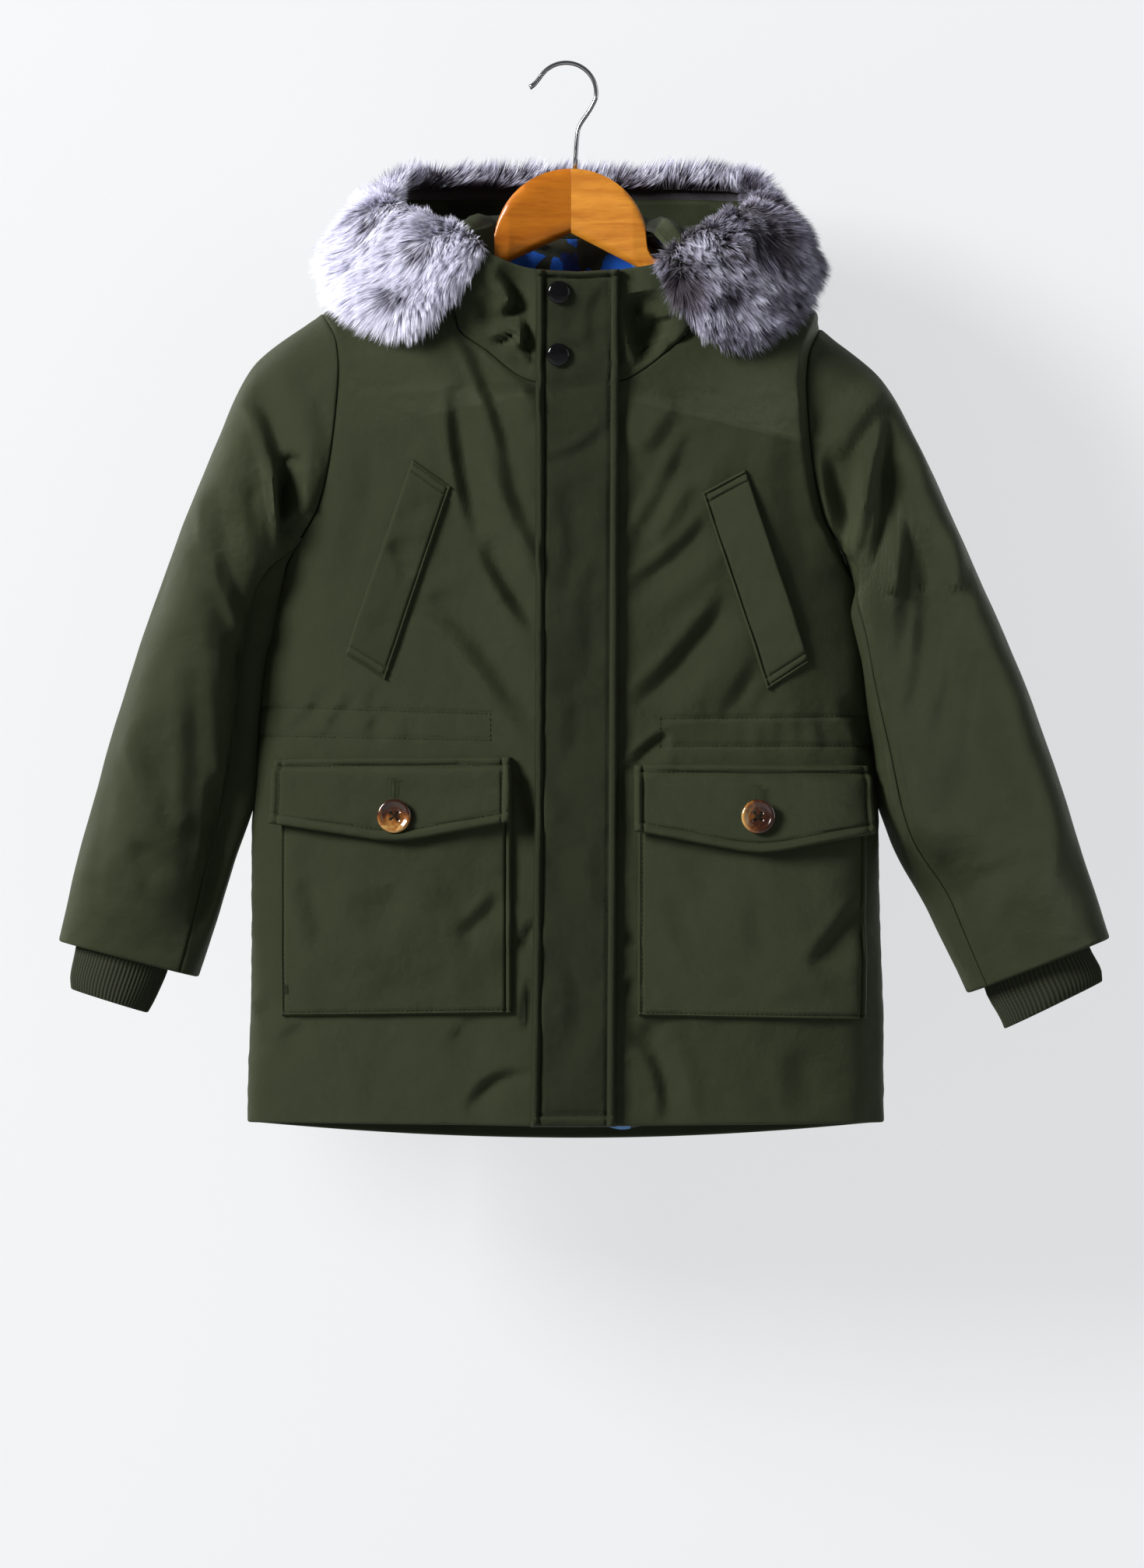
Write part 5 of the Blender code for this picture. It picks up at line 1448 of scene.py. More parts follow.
def hood_panel(stations, step):
    """Stations are sides and ways along the neck seam; the grid's rows run up the hood."""
    fine = np.linspace(0, 1, 400)
    along = even_places(fine, hood_point(LEFT, np.full(400, 0.9), fine), step)
    grid = np.stack([hood_point(side, np.full(len(along), way), along) for side, way in stations], axis=1)
    x, y, h = np.moveaxis(grid, -1, 0)
    seam = from_sides(grid)[0]
    relief = 1.6 * fold_relief(COLLAR_FOLDS, x, h) * step_up(-y, 8, 22)
    relief = relief + 1.5 * fold_relief(HOOD_BACK_FOLDS, x, h) * step_up(y, 40, 60)
    relief = relief + 0.9 * wobble(grid, 50, 31) * step_up(np.abs(y), 6, 22) + 0.3 * wobble(grid, 20, 32)
    return grid, relief * fade_at(seam, 6) + pucker(grid, seam)


def hood_stations(side, first, last, step):
    fine = np.linspace(first, last, 600)
    return [(side, way) for way in even_places(fine, hood_point(side, fine, np.full(600, 1.0)), step)]


def sizes():
    return bpy.context.scene.parka_sizes


def build_body(look):
    step, cloth = sizes().cloth_step / MM, (look["shell"], look["camo"])
    arms = ["hanger_arm_left", "hanger_arm_right"]
    for side, word in SIDES.items():
        grid, relief = front_panel(side, step)
        front = wall(f"front_{word}_cloth", grid, side, WALL, cloth, relief)
        settle(front, "olive_cloth", f"front_{word}", (0.27, 0.62), arms)
    grid, relief = back_panel(1.2 * step)
    back = wall("back_cloth", grid, -1, WALL, cloth, relief)
    settle(back, "olive_cloth", "back", (0.54, 0.64), arms)
    for side in SIDES:
        inner, outer, *heights = WAIST[side]
        for inner_h, outer_h in zip(heights[::2], heights[1::2]):
            far = outer * torso_section(np.array([side]), np.array([outer_h]))[0][0]
            sew_skin([(inner, inner_h), (far, outer_h)])
            sew_skin([(0, inner_h), (far, outer_h)], front=False)
        sew_skin([(inner, heights[2]), (inner, heights[0])])


def build_sleeves(look):
    turn = math.acos(1 - 2 * SEAM_DOWN) / math.pi
    panels = ("upper", -turn, turn, (0.27, 0.47)), ("under", turn, 2 - turn, (0.06, 0.31))
    for side, word in SIDES.items():
        for panel, first, last, flat in panels:
            grid, relief = sleeve_panel(side, first, last, sizes().cloth_step / MM)
            name, cloth = f"sleeve_{word}_{panel}", (look["shell"], look["dark"])
            from_cuff = from_sides(grid)[1]
            sleeve = wall(name + "_cloth", grid, side, WALL, cloth, relief, facing=from_cuff, tuck=6)
            settle(sleeve, "olive_cloth", name, flat, [f"front_{word}_cloth", "back_cloth"])


def build_cuffs(look):
    tree = rib_tree()
    turns = np.linspace(0, 2, 281)[:-1]
    share, across = np.full(len(turns), CUFF_CATCH), (1 + np.cos(np.pi * turns)) / 2
    places = np.concatenate([np.linspace(0, 0.9, 13), [0.93, 0.96, 0.985, 1.0]])
    for side, word in SIDES.items():
        around = sleeve_point(side, share, turns + 0.01) - sleeve_point(side, share, turns - 0.01)
        down = sleeve_point(side, share + 0.02, turns) - sleeve_point(side, share - 0.02, turns)
        inside = unit(np.cross(around, down) * side) * (WALL + 2 * GAP)
        rings = [sleeve_point(side, share, turns) - inside]
        for outer_x, outer_h, inner_x, inner_h, depth in CUFF[side]:
            x, h = mix(inner_x, outer_x, across), mix(inner_h, outer_h, across)
            rings.append(np.stack([x, -depth * np.sin(np.pi * turns), h], -1))
        keys, rings = np.linspace(0, 1, len(rings)), np.stack(rings)
        outer = np.stack([smooth(keys, rings, np.full(len(turns), place)) for place in places])
        away = unit(outer - outer.mean(axis=1, keepdims=True))
        end = (1 - round_over((1 - places) * 40, 1.6))[:, None, None] * away * CUFF_WALL / 2
        folds = 0.7 * wobble(outer, 26, 41)[..., None] * away
        outer, inner = outer - end + folds, outer - away * CUFF_WALL + end + folds
        rings = np.concatenate([outer, inner[::-1]])
        marks = {
            "around": np.tile(turns / 2, len(rings)),
            "down": np.repeat(np.concatenate([places, places[::-1]]), len(turns)),
        }
        faces = grid_quads(len(rings), len(turns), wrap=True, close=True)
        points = rings.reshape(-1, 3)
        cuff = new_object(f"cuff_{word}_knit", points, faces, [look["rib"]], side, attributes=marks)
        grow(cuff, tree, Ribs=float(CUFF_RIBS), Depth=sizes().rib_depth, Material=look["rib"])
        cuff.data.shade_smooth()
        settle(cuff, "rib_knit", f"cuff_{word}", (0.175, 0.068), [f"sleeve_{word}_upper_cloth"])


def build_hood(look):
    step, cloth = sizes().cloth_step / MM * 0.85, (look["shell"], look["dark"])
    for side, word in SIDES.items():
        grid, relief = hood_panel(hood_stations(side, 0.0, HOOD_PANEL_WAY, step), step)
        panel = wall(f"hood_{word}_cloth", grid, side, HOOD_WALL, cloth, relief, roll=2.4, hem=4, tuck=3)
        settle(panel, "olive_cloth", f"hood_{word}", (0.25, 0.16), ["back_cloth"])
    step *= 1.5
    half = hood_stations(LEFT, HOOD_PANEL_WAY, 1.0, step)
    grid, relief = hood_panel([*half, *((RIGHT, way) for _, way in half[-2::-1])], step)
    # the inner side takes the placket's darkened olive, as painted shade inside the hood
    cloth = (look["shell"], look["placket"])
    panel = wall("hood_center_cloth", grid, LEFT, HOOD_WALL, cloth, relief, roll=2.4, hem=4)
    settle(panel, "olive_cloth", "hood_center", (0.23, 0.36), ["back_cloth"])


# ---------------------------------------------------------------- what lies on the fronts
def grid_between(length, width, step=3.0):
    """Shares along and across a piece, closer together at its sides."""
    along, across = (
        even_places(line, line[:, None], step, PAD_STEPS) / line[-1]
        for line in (np.linspace(0, length, 400), np.linspace(0, width, 200))
    )
    return along[:, None], across[None, :]


def build_placket(look):
    down, across = grid_between(576, 57)
    h = mix(-2.0, 574.5, down) * np.ones_like(across)
    edges = table(PLACKET_EDGES, h)
    x = mix(edges[..., 0], edges[..., 1], across)
    placket = pad(
        "placket_cloth", x, h, PLACKET_THICK, look["placket"], ((8,), (5,), (6.5,), (6.5,)), lift=1.2,
        bead=2.4, puff=0.7, seed=51, swell=1.8 * fold_relief(PLACKET_FOLDS, x, h),
    )
    settle(placket, "olive_cloth", "placket", (0.065, 0.59), ["front_left_cloth", "front_right_cloth"])


def build_welts(look):
    down, across = grid_between(138, 31, 2.6)
    mouth = 4.0 * (1 - across) ** 1.5 * np.sin(np.pi * np.clip(down, 0, 1)) ** 0.5         # stands open
    for side, word in SIDES.items():
        top_outer, top_inner, low_inner, low_outer = np.array(WELTS[side])[..., None, None]
        x, h = mix(mix(low_outer, top_outer, down), mix(low_inner, top_inner, down), across)
        stitched = (2.2, 7.5), (2.2, 7.5), (), (2.2,)
        name, lift = f"welt_{word}_cloth", GAP + mouth
        welt = pad(name, x, h, WELT_THICK, look["shell"], stitched, lift=lift, seed=60 + side)
        settle(welt, "olive_cloth", f"welt_{word}", (0.034, 0.142), [f"front_{word}_cloth"])


def build_pockets(look):
    height, width, pleat_in = 166, 153, 4.2
    down, across = grid_between(height, width)
    bulge = 2.2 * np.sin(np.pi * across) ** 0.8 * np.sin(np.pi * np.clip(down * 0.85, 0, 1)) ** 0.8
    for side, word in SIDES.items():
        outer_x, inner_x, top, low_outer, low_inner = POCKETS[side]
        x = mix(outer_x, inner_x, across) * np.ones_like(down)
        h = mix(mix(low_outer, low_inner, across), top, down)
        from_right = 1 - across if side == LEFT else across         # the pleat lies on the right in both
        pleat = bell(from_right * width, pleat_in, 0.8)
        drape = 1.8 * fold_relief(POCKET_FOLDS, x, h)
        stitched = ((2.6,), (), (2.6,), ()) if side == LEFT else ((2.6,), (), (), (2.6,))
        pocket = pad(
            f"pocket_{word}_cloth", x, h, POCKET_THICK - 1.6, look["shell"], stitched, bead=0.7, puff=1.3,
            seed=70 + side, swell=bulge + drape - 2.2 * pleat,
        )
        settle(pocket, "olive_cloth", f"pocket_{word}", (0.16, 0.175), [f"front_{word}_cloth"])
        tack_x, tack_low, tack_high = TACKS[side]
        for shift in (-1.2, 0, 1.2):
            line = [(tack_x + shift, tack_low), (tack_x + shift, tack_high)]
            sew_skin(line, lift=POCKET_THICK - 1.2, pitch=0.5)


def build_flaps(look):
    down, across = grid_between(52, 158)
    over = POCKET_THICK - 0.8
    lift = GAP + over * step_up((1 - down) * 50, 3, 11) + 4.4 * np.clip(1 - down * 1.8, 0, 1)
    for side, word in SIDES.items():
        outer_x, inner_x, top_outer, top_inner, low_outer, low_inner, tip_x, tip_h = FLAPS[side]
        x = mix(outer_x, inner_x, across) * np.ones_like(down)
        low = np.interp(-side * x, -side * np.array([outer_x, tip_x, inner_x]), [low_outer, tip_h, low_inner])
        low = low + 1.2 * bell(x, tip_x, 8)        # a soft point
        h = mix(low, mix(top_outer, top_inner, across), down)
        flap = pad(
            f"flap_{word}_cloth", x, h, FLAP_THICK, look["shell"], ((7.0,), (5.6,), (6.2,), (6.2,)),
            lift=lift, bead=1.7, puff=0.8, seed=80 + side,
        )
        settle(flap, "olive_cloth", f"flap_{word}", (0.17, 0.066), [f"pocket_{word}_cloth"])
        slit_x, slit_low, slit_high = BUTTONHOLES[side]
        for shift in (-1.1, 1.1):
            line = [(slit_x + shift, slit_low), (slit_x + shift, slit_high)]
            sew_skin(line, lift=over + FLAP_THICK + 1.4, pitch=0.45)
        line = [(slit_x - 3, slit_high + 1), (slit_x + 3, slit_high + 1)]
        sew_skin(line, lift=over + FLAP_THICK + 1.4, pitch=0.45)


def turned(name, profile, steps, material, x, h, lift):
    """A piece of revolution standing on the fronts, from radii and heights; gives its place and turn too."""
    angle = np.linspace(0, 2 * np.pi, steps, endpoint=False)
    rings = np.array([[(r * math.cos(a), r * math.sin(a), z) for a in angle] for r, z in profile])
    x, h = np.array([x]), np.array([h])
    point, normal = front_skin(x, h)
    point = point[0] + normal[0] * (lift + body_relief(x, h, True)[0])
    turn = np.array(Vector(normal[0]).to_track_quat("Z", "Y").to_matrix())
    points = rings.reshape(-1, 3) @ turn.T + point
    top, foot = (len(profile) - 1) * steps, len(points)
    points = np.vstack([points, points[:steps].mean(0), points[top:].mean(0)])
    faces = grid_quads(len(profile), steps, wrap=True).tolist()
    faces += [(foot, (i + 1) % steps, i) for i in range(steps)]
    faces += [(foot + 1, top + i, top + (i + 1) % steps) for i in range(steps)]
    return new_object(name, points, faces, [material], sharp=55), point, turn


def build_snaps(look):
    for word, (x, h) in SNAPS.items():
        snap, _, _ = turned(f"snap_{word}_cap", SNAP_PROFILE, 48, look["snap"], x, h, PLACKET_THICK - 0.2)
        settle(snap, "black_gloss", f"snap_{word}")


def build_buttons(look):
    for side, word in SIDES.items():
        name, horn, lift = f"button_{word}_horn", look["horn_" + word], POCKET_THICK + FLAP_THICK + 1.2
        button, point, turn = turned(name, BUTTON_PROFILE, 64, horn, *BUTTONS[side], lift)
        for across, up in product((-BUTTON_HOLE, BUTTON_HOLE), repeat=2):
            spot = world(point + turn @ [across, up, 1.0]).tolist()
            straight = Vector(turn[:, 2]).to_track_quat("Z", "Y").to_euler()
            bpy.ops.mesh.primitive_cylinder_add(
                vertices=16, radius=1.0 * MM, depth=8 * MM, location=spot, rotation=straight
            )
            cut = button.modifiers.new("hole", "BOOLEAN")
            cut.object, cut.solver = bpy.context.object, "EXACT"
        holes, mesh = [cut.object for cut in button.modifiers], evaluated_mesh(button)
        button.modifiers.clear()
        button.data = mesh
        for hole in holes:
            bpy.data.objects.remove(hole, do_unlink=True)
        close_ends(button)
        settle(button, "tortoise", f"button_{word}")
        ups = -BUTTON_HOLE, -0.7, 0.7, BUTTON_HOLE           # the thread crosses twice each way
        for across, shift in product((-BUTTON_HOLE, BUTTON_HOLE), (-0.3, 0.3)):
            line = np.array([point + turn @ [-across * up / 2, up, 3.0 - 0.25 * abs(up)] for up in ups])
            SEWN.append((line + turn[:, 0] * shift, np.tile(turn[:, 2], (4, 1)), 0.4))


def build_stitches(look):
    """One joined mesh of all the stitches, grown pitch by pitch."""
    tree, made = stitch_tree(), []
    for pitch in dict.fromkeys(row[2] for row in SEWN):
        rows = [row for row in SEWN if row[2] == pitch]
        edges, start = [], 0
        for points, _, _ in rows:
            edges += [(start + i, start + i + 1) for i in range(len(points) - 1)]
            start += len(points)
        mesh = bpy.data.meshes.new("stitches")
        mesh.from_pydata(world(np.vstack([row[0] for row in rows])).tolist(), edges, [])
        ups = np.vstack([row[1] for row in rows]).astype(np.float32)
        mesh.attributes.new("up", "FLOAT_VECTOR", "POINT").data.foreach_set("vector", ups.ravel())
        made.append(link("stitches", mesh))
        between, long = sizes().stitch_pitch * pitch, sizes().stitch_length * min(1, pitch * 1.3)
        grow(made[-1], tree, Pitch=between, Length=long, Thread=sizes().thread, Material=look["thread"])
    with bpy.context.temp_override(active_object=made[0], selected_editable_objects=made):
        bpy.ops.object.join()
    made[0].data.shade_smooth()
    settle(made[0], "olive_cloth")


# ---------------------------------------------------------------- lining and the neck's flap
def build_linings(look):
    up, share = np.linspace(0, 1, 40)[:, None], np.linspace(-1, 1, 64)[None, :]
    x = share * mix(92, 60, up)
    h = np.minimum(mix(500, 603, up) + 10 * share**2 - 3, ridge_height(x) - 7)
    grid = torso_point(x, h, False) - torso_normal(x, h, False) * (WALL + 2.2)
    relief = 1.5 * wobble(grid, 26, 91) + 0.8 * wobble(grid, 12, 92) + fold_relief(LINING_FOLDS, x, h)
    lining = wall("lining_neck_cloth", grid, -1, 1.2, [look["camo"]], relief, roll=1.0)
    settle(lining, "camo_lining", "lining_neck", (0.19, 0.11), ["back_cloth"])

    first, last, low, high = HEM_LINING
    down, across = np.linspace(0, 1, 16)[:, None], np.linspace(0, 1, 24)[None, :]
    x = mix(first, last, across) * np.ones_like(down)
    h = mix(low + 2.5, high, down) - 3.6 * bell(x, 30, 11) * (1 - down)
    grid = torso_point(x, h, True) - torso_normal(x, h, True) * (WALL + 1.6)
    lining = wall("lining_hem_cloth", grid, RIGHT, 1.2, [look["camo"]], 0.8 * wobble(grid, 18, 93), roll=1.0)
    settle(lining, "camo_lining", "lining_hem", (0.062, 0.046), ["front_right_cloth"])


def build_neck_tab(look):
    along, way = np.array(NECK_TAB_ALONG), np.full(3, NECK_TAB_WAY)
    sewn = hood_point(LEFT, way, along) - hood_normal(LEFT, way, along) * (HOOD_WALL + 2.4)
    ends = np.array([(*NECK_TAB_END, h) for h in NECK_TAB_END_H])
    shares = np.linspace(0, 1, 14)
    rows = [mix(sewn, ends, share) + [0, -2.2 * math.sin(math.pi * share), 0] for share in shares]
    grid = np.stack([smooth([0, 0.5, 1], row, np.linspace(0, 1, 16)) for row in rows], axis=1)
    tab = wall("neck_tab_cloth", grid, 1, 1.5, [look["tab"]], np.zeros(grid.shape[:2]), roll=1.2)
    settle(tab, "olive_dark_cloth", "neck_tab", (0.044, 0.026), ["hood_left_cloth"])


# ---------------------------------------------------------------- fur
def fur_section(side, way, angle, stand, short, depth):
    """Places over the strip, and the way down it; angle 0 is its lower edge, pi past the hood's edge."""
    one = np.ones_like(way)
    edge, lower = hood_point(side, way, one), table(FUR_LOWER[side], way)
    down = unit(lower - edge)
    after, before = np.minimum(way + 0.02, 1), np.maximum(way - 0.02, 0)
    out = unit(np.cross(hood_point(side, after, one) - hood_point(side, before, one), down) * -side)
    over = step_up(way, 0.58, 0.75)[:, None] * [0, -9, 0]    # behind the neck the strip folds over the edge
    top, lower = edge - down * stand + out * GAP + over, lower - down * short + out * GAP
    rise = np.sin(angle)[:, None]
    dome = np.where(rise > 0, np.abs(rise) ** 0.8 * depth, 5 * rise)
    return (top + lower) / 2 + (lower - top) / 2 * np.cos(angle)[:, None] + out * dome, down


def parted(points, word, angle):
    """Which way the pile is combed, away from its partings, and how dark its roots show there."""
    comb, dark = np.zeros_like(points), np.zeros(len(points))
    seen = step_up(angle, 1.9, 2.4) if word == "back" else np.ones(len(points))
    for x, h, strength, reach in PARTINGS[word]:
        off = (points - [x, 0, h]) * [1, 0, 1]
        far = np.linalg.norm(off, axis=-1)
        near = strength * seen * bell(far, 0, 1.6 * reach)
        comb += off / np.maximum(far, 4)[:, None] * near[:, None]
        dark += 0.30 * strength * seen * bell(far, 0, 0.55 * reach)
    return comb, np.minimum(dark, 0.5)


def build_fur(look):
    given, tree = sizes(), pile_tree()
    steps, angle = 32, np.linspace(0.02, np.pi + 0.5, 32)
    for seed, (word, (shade, count, runs)) in enumerate(FUR_STRIPS.items()):
        behind = word == "back"
        rows, marks = [], {"comb": [], "reach": [], "shade": []}
        for run, (side, first, last) in enumerate(runs):
            for way in np.linspace(first, last, count)[1 if run else 0 :]:
                start = min((way - runs[0][1]) / 0.055, 1)
                close = 1.0 if behind else math.sqrt(1 - (1 - start) ** 2)          # its end rounds over
                stand = mix(4.0, 12.0, step_up(way, 0.55, 0.8))
                short = mix(15.0, 6.0, step_up(way, 0.45, 0.8))
                depth = given.fur_core / MM * (0.25 + 0.75 * close)
                points, down = fur_section(side, np.full(steps, way), angle, stand, short, depth)
                middle = points.mean(0)
                points = middle + (points - middle) * (0.72 + 0.28 * close)
                comb, dark = parted(points, word, angle)
                over = step_up(way, 0.6, 0.75) * step_up(angle, 1.7, 2.8)[:, None]
                rows.append(points)
                marks["comb"].append(comb + mix(down * 0.55 - [0, 0, 0.25], [0.55, -0.35, 0.75], over))
                most, least, near, far = (0.95, 0.7, 2.2, 3.2) if behind else (1.0, 0.5, 1.7, 2.9)
                marks["reach"].append(mix(most, least, step_up(angle, near, far)))
                # painted shade: the partings' darkening plus each strip's painted light and shade
                marks["shade"].append(dark + shade)
        grid = np.stack(rows)
        sign = faces_out(grid, grid - grid.mean(axis=1, keepdims=True))
        points, faces = grid.reshape(-1, 3), grid_quads(*grid.shape[:2])
        marks = {title: np.concatenate(parts) for title, parts in marks.items()}
        pile = new_object(f"fur_{word}_pile", points, faces, [look["pile"]], sign, attributes=marks)
        area = sum(face.area for face in pile.data.polygons)
        grow(
            pile, tree, Density=given.strands / area, Length=given.fur_length, Width=given.fur_width,
            Lean=1.0, Droop=0.35, Tuft=given.fur_tuft, Gather=0.42, Seed=seed + 3, Material=look["pile"],
        )
        settle(pile, "faux_fur", f"fur_{word}")
        level, flat = np.zeros(grid.shape[:2]), (0.075, 0.36 if behind else 0.2)
        backing = wall(f"fur_{word}_backing", grid, sign, 2.0, [look["backing"]], level, roll=1.5)
        settle(backing, "faux_fur", None, flat, ["hood_center_cloth"], with_pieces=[pile])


# ---------------------------------------------------------------- hanger
def arm_ring(side, out, steps):
    """A rounded section of a plank at a distance from the hanger's middle."""
    x, top = HANGER_X + side * out, 0.0
    if out < ARCH_RADIUS - 0.2:
        top = ARCH_H + math.sqrt(ARCH_RADIUS**2 - out**2)
    if out > 40:
        top = max(top, ridge_height(np.array([x]))[0] - ARM_UNDER_RIDGE)
    if side == RIGHT and out > 51:
        top -= 12 * bell(out, 57, 7)               # out of sight behind the collar
    bottom = ARM_APEX_H - ARM_LOWER_SLOPE[side] * out
    tip = (out - (ARM_LENGTH - 14)) / 14
    if tip > 0:
        shrink = (1 - math.sqrt(max(1 - tip * tip, 0.0))) * 0.44 * (top - bottom)
        top, bottom = top - shrink, bottom + shrink
    middle = np.array([-0.00034 * out * out - 0.12 * min(out, 42), (top + bottom) / 2])
    half, corner = np.array([ARM_THICK, top - bottom]) / 2, 2.2
    ring = []
    for angle in np.linspace(0, 2 * np.pi, steps, endpoint=False):
        place = np.array([math.cos(angle), math.sin(angle)])
        place = place / max(abs(place) / half)
        inner = np.clip(place, corner - half, half - corner)
        off = place - inner
        if np.linalg.norm(off) > corner:
            off = off / np.linalg.norm(off) * corner
        ring.append((x, *(middle + inner + off)))
    return ring


def build_hanger(look):
    outs = np.concatenate([
        [0.05, 0.6, 1.4], np.linspace(3, 50, 48), [50.8, 51.4, 51.8, 52.1], np.linspace(53.5, 140, 44),
        [143, 146, 148.5, 150.3, 151.4, ARM_LENGTH],
    ])
    for side, word in SIDES.items():
        rings = np.array([arm_ring(side, out, 48) for out in outs])
        ends = [mix(ring, ring.mean(0), 0.97) for ring in (rings[0], rings[-1])]
        sign = faces_out(rings, rings - rings.mean(axis=1, keepdims=True))
        rings = np.concatenate([ends[:1], rings, ends[1:]])
        faces = grid_quads(*rings.shape[:2], wrap=True)
        arm = new_object(f"hanger_arm_{word}_wood", rings.reshape(-1, 3), faces, [look["wood_" + word]], sign)
        close_ends(arm)
        settle(arm, "amber_wood", f"hanger_arm_{word}")


def build_hook(look):
    curve = bpy.data.curves.new("hook", "CURVE")
    curve.dimensions, curve.bevel_depth, curve.bevel_resolution = "3D", WIRE_RADIUS * MM, 5
    curve.use_fill_caps = True
    bend = [
        (SEAT[0] + BEND_RADIUS * math.cos(angle), BEND_H + BEND_RADIUS * math.sin(angle))
        for angle in np.radians(np.linspace(146, -12, 40))
    ]
    route = [*HOOK_TIP, *bend, *HOOK_LOWER]
    spline = curve.splines.new("NURBS")
    spline.points.add(len(route) - 1)
    for point, (x, h) in zip(spline.points, route):
        point.co = (*world([x, 0, h]), 1)
    spline.order_u, spline.use_endpoint_u, spline.resolution_u = 4, True, 4
    spline.points[0].radius, spline.points[1].radius = 1.25, 1.1
    wire = link("hook", curve)
    hook = link("hanger_hook_wire", evaluated_mesh(wire))
    bpy.data.objects.remove(wire, do_unlink=True)
    hook.data.materials.clear()
    hook.data.materials.append(look["chrome"])
    hook.data.shade_smooth()
    close_ends(hook)
    settle(hook, "chrome", "hanger_hook")


# ---------------------------------------------------------------- stage
def stage_material(name, colour):
    """Pale matt paint; the wall's is clear from behind and lets light through from there."""
    emission = solid(colour, 3.8)
    made = Finish(name + " paint", colour, roughness=0.9, specular_ior_level=0.1, emission_color=emission)
    shadow, glossy, diffuse = made("LightPath", out=("Is Shadow Ray", "Is Glossy Ray", "Is Diffuse Ray"))
    strength = glossy.maths("MAXIMUM", diffuse).maths("MULTIPLY_ADD", -0.7, 1.0)
    tone = made.blend(made.cloud(0.9), solid(colour, 0.97), solid(colour, 1.02))
    made.feed(base_color=tone, emission_strength=strength)
    if name == "wall":
        either = made("NewGeometry", out="Backfacing").maths("MAXIMUM", shadow)
        paint = Value(made, made.shader.outputs[0])
        both = made("MixShader", either, paint, made("BsdfTransparent"))
        made.put(both, made.tree.nodes["Material Output"].inputs["Surface"])
    return made.material


def stage_plane(name, colour, *corners):
    mesh = bpy.data.meshes.new(name)
    mesh.from_pydata(corners, [], [(0, 1, 2, 3)])
    mesh.materials.append(stage_material(name, colour))
    link(name, mesh)


def soft_light(name, place, size, power, colour):
    """An area light that faces the middle of the garment."""
    light = bpy.data.lights.new(name, "AREA")
    light.shape, light.size, light.size_y, light.energy, light.color = "RECTANGLE", *size, power, colour
    obj = link(name, light)
    obj.location = place
    obj.rotation_euler = (Vector(LIGHTS_AIM) - Vector(place)).to_track_quat("-Z", "Y").to_euler()


def build_stage(look):
    scene, given = bpy.context.scene, bpy.context.scene.parka_stage
    camera = bpy.data.cameras.new("camera")
    camera.lens = 36 * given.distance / VIEW_HEIGHT
    camera.clip_end = 100
    scene.camera = link("camera", camera)
    scene.camera.location = (VIEW_CENTRE[0], VIEW_PLANE - given.distance, VIEW_CENTRE[1])
    scene.camera.rotation_euler = (math.pi / 2, 0, 0)

    y, (low, high), wide, far = given.wall_y, STAGE_HEIGHTS, WALL_HALF_WIDTH, FLOOR_HALF_WIDTH
    stage_plane("wall", given.wall, (-wide, y, low), (wide, y, low), (wide, y, high), (-wide, y, high))
    stage_plane("floor", given.wall, (-far, -far, low), (far, -far, low), (far, far, low), (-far, far, low))
    for name, setting, share, place, size, tint in LIGHTS:
        soft_light(name, place, size, getattr(given, setting) * share, tint)

    scene.world = scene.world or bpy.data.worlds.new("studio")
    scene.world.use_nodes = True
    net = Net(scene.world.node_tree)
    sky = net.tree.nodes.get("Background").inputs
    net.put((0.972, 0.986, 1.0, 1), sky["Color"])
    seen = net("LightPath", out="Is Camera Ray")
    net.put(seen.maths("MULTIPLY_ADD", SKY_SEEN - given.sky, given.sky), sky["Strength"])
    scene.view_settings.view_transform = "Standard"


# ---------------------------------------------------------------- the add-on
def number(name, description, default, kind=FloatProperty, **limits):
    return kind(name=name, description=description, default=default, **({"min": 0} | limits))


def length(name, description, default):
    return number(name, description, default, min=0.00001, precision=5, unit="LENGTH")


def colour(name, description, default):
    return number(name, description, default, FloatVectorProperty, size=3, max=1, subtype="COLOR")


class ParkaSizes(bpy.types.PropertyGroup):
    cloth_step: length("Cloth grid", "Distance between the points of the shell's surface", 0.0034)
    stitch_pitch: length("Stitch pitch", "Distance from one stitch to the next", 0.0032)
    stitch_length: length("Stitch length", "Length of one stitch", 0.0025)
    thread: length("Thread", "Thickness of the sewing thread", 0.0007)
    rib_depth: length("Rib depth", "How far the knitted ribs of the cuffs stand out", 0.00035)
    fur_core: length("Fur backing", "How far the fur's backing domes out from the hood", 0.0075)
    fur_length: length("Pile length", "Length of the fur's strands", 0.0160)
    fur_width: length("Strand width", "Width of a strand at its root", 0.00062)
    fur_tuft: length("Tuft", "Size of the fur's tufts", 0.0045)
    strands: number("Strands", "Strands on each of the three fur pieces", 52000, IntProperty, min=100)


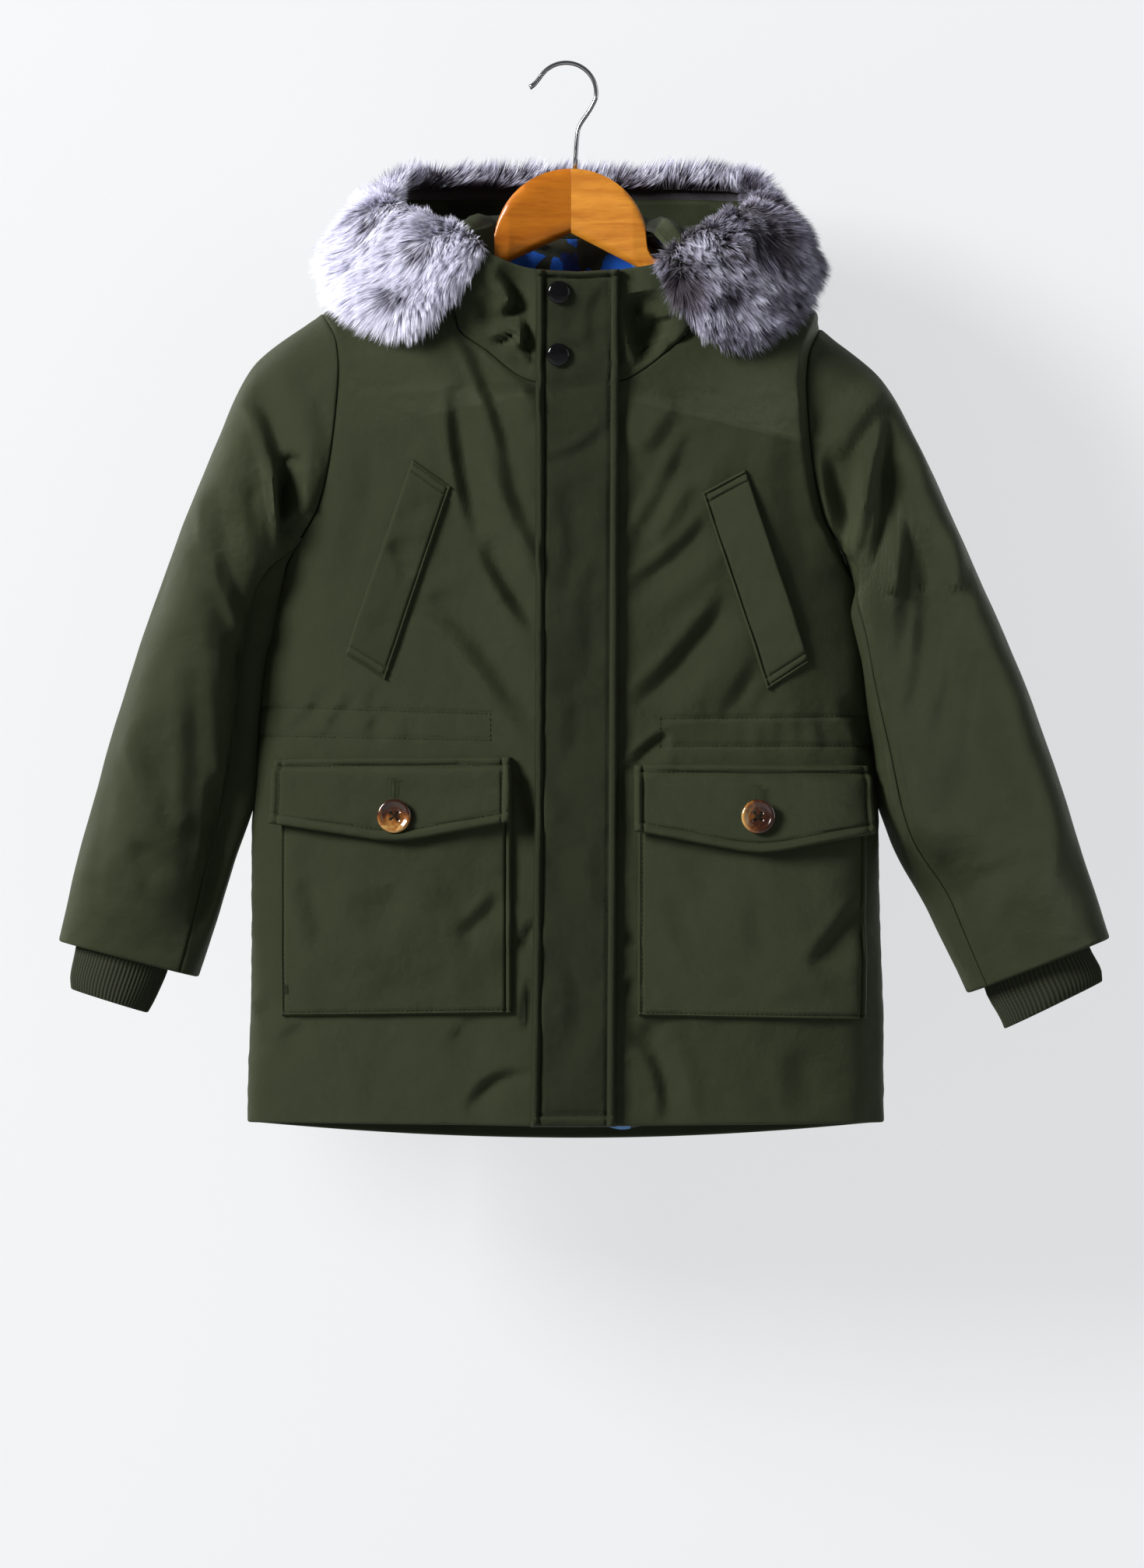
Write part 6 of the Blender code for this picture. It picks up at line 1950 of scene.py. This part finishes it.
class ParkaColours(bpy.types.PropertyGroup):
    shell: colour("Shell", "Olive twill of the shell", (0.0215, 0.0255, 0.0125))
    inner: colour("Inner", "Dark taffeta inside the sleeves", (0.012, 0.014, 0.008))
    rib: colour("Rib", "Knitted cuffs", (0.021, 0.0245, 0.0125))
    fur_root: colour("Fur root", "Roots of the pile", (0.040, 0.033, 0.044))
    fur_mid: colour("Fur", "Middle of the pile", (0.30, 0.29, 0.39))
    fur_tip: colour("Fur tip", "Tips of the pile", (0.84, 0.84, 0.97))
    # the lining's own blues, set brighter to make up, as painted light, for the shade the neck lining sits in
    camo_pale: colour("Lining, pale", "Pale patches of the lining", (0.16, 0.38, 0.80))
    camo_deep: colour("Lining, blue", "Blue patches of the lining", (0.012, 0.15, 0.80))
    camo_navy: colour("Lining, navy", "Dark patches of the lining", (0.010, 0.035, 0.24))
    wood_light: colour("Wood", "Light grain of the hanger", (0.58, 0.235, 0.032))
    wood_dark: colour("Wood, dark", "Dark grain of the hanger", (0.36, 0.115, 0.010))
    horn_brown: colour("Button, brown", "Brown part of the buttons", (0.042, 0.012, 0.004))
    horn_amber: colour("Button, amber", "Amber part of the buttons", (0.20, 0.070, 0.012))
    horn_cream: colour("Button, cream", "Palest part of the buttons", (0.42, 0.24, 0.07))


class ParkaStage(bpy.types.PropertyGroup):
    distance: length("Camera distance", "From the camera to the jacket's front", 6.5)
    wall_y: length("Wall", "Distance of the wall behind the hanger's plane", 0.150)
    wall: colour("Wall", "Paint of the wall and the floor", (0.174, 0.1765, 0.179))
    key: number("Key light", "Power of the light on the left, in watts", 500)
    fill: number("Fill light", "Power of the light on the right, in watts", 6)
    back: number("Back light", "Power of the left one of the lights behind, in watts", 150)
    side: number("Side light", "Power of the light beside the garment, in watts", 22)
    sky: number("Room light", "Strength of the light from all round", 0.10)


def maker(idname, label, text, *builders):
    """An operator class that runs builders; anything that fails in one stops the script."""
    def execute(self, context):
        for build in builders:
            build(finishes())
        return {"FINISHED"}

    fields = {"bl_idname": "parka." + idname, "bl_label": label, "__doc__": text, "execute": execute,
              "bl_options": {"REGISTER", "UNDO"}}
    return type("PARKA_OT_" + idname, (bpy.types.Operator,), fields)


MAKERS = (
    maker("stage", "Stage", "Camera, wall, floor and soft lights", build_stage),
    maker("body", "Body", "Both fronts and the back, with the waist's drawn channel", build_body),
    maker("sleeves", "Sleeves", "Upper and under panels of both sleeves", build_sleeves),
    maker("cuffs", "Cuffs", "Ribbed knitted cuffs", build_cuffs),
    maker("hood", "Hood", "Collar and hood panels", build_hood),
    maker("placket", "Placket", "The placket and its snaps", build_placket, build_snaps),
    maker("pockets", "Pockets", "Chest welts, hip pockets, flaps and buttons",
          build_welts, build_pockets, build_flaps, build_buttons),
    maker("lining", "Lining", "Lining at the neck and the hem", build_linings),
    maker("neck_tab", "Neck flap", "The small flap inside the collar", build_neck_tab),
    maker("fur", "Fur", "The hood's tufted fur trim", build_fur),
    maker("stitches", "Stitches", "Every row of stitches", build_stitches),
    maker("hanger", "Hanger", "Wooden planks and the wire hook", build_hanger, build_hook),
)
GROUPS = {"parka_sizes": ParkaSizes, "parka_colours": ParkaColours, "parka_stage": ParkaStage}


class PARKA_PT_panel(bpy.types.Panel):
    """Makes the parka's pieces, and holds their sizes and colours"""
    bl_label, bl_idname = "Parka", "PARKA_PT_panel"
    bl_space_type, bl_region_type, bl_category = "VIEW_3D", "UI", "Parka"

    def draw(self, context):
        for title, kind in GROUPS.items():
            box = self.layout.box()
            for key in kind.__annotations__:
                box.prop(getattr(context.scene, title), key)
        for each in MAKERS:
            self.layout.operator(each.bl_idname)


def register():
    for each in (*GROUPS.values(), *MAKERS, PARKA_PT_panel):
        bpy.utils.register_class(each)
    for title, kind in GROUPS.items():
        setattr(bpy.types.Scene, title, PointerProperty(type=kind))


def unregister():
    for title in GROUPS:
        delattr(bpy.types.Scene, title)
    for each in (PARKA_PT_panel, *reversed(MAKERS), *GROUPS.values()):
        bpy.utils.unregister_class(each)


def main():
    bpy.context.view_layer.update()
    register()
    for each in MAKERS:
        getattr(bpy.ops.parka, each.bl_idname.split(".")[1])()


if __name__ == "__main__":
    main()
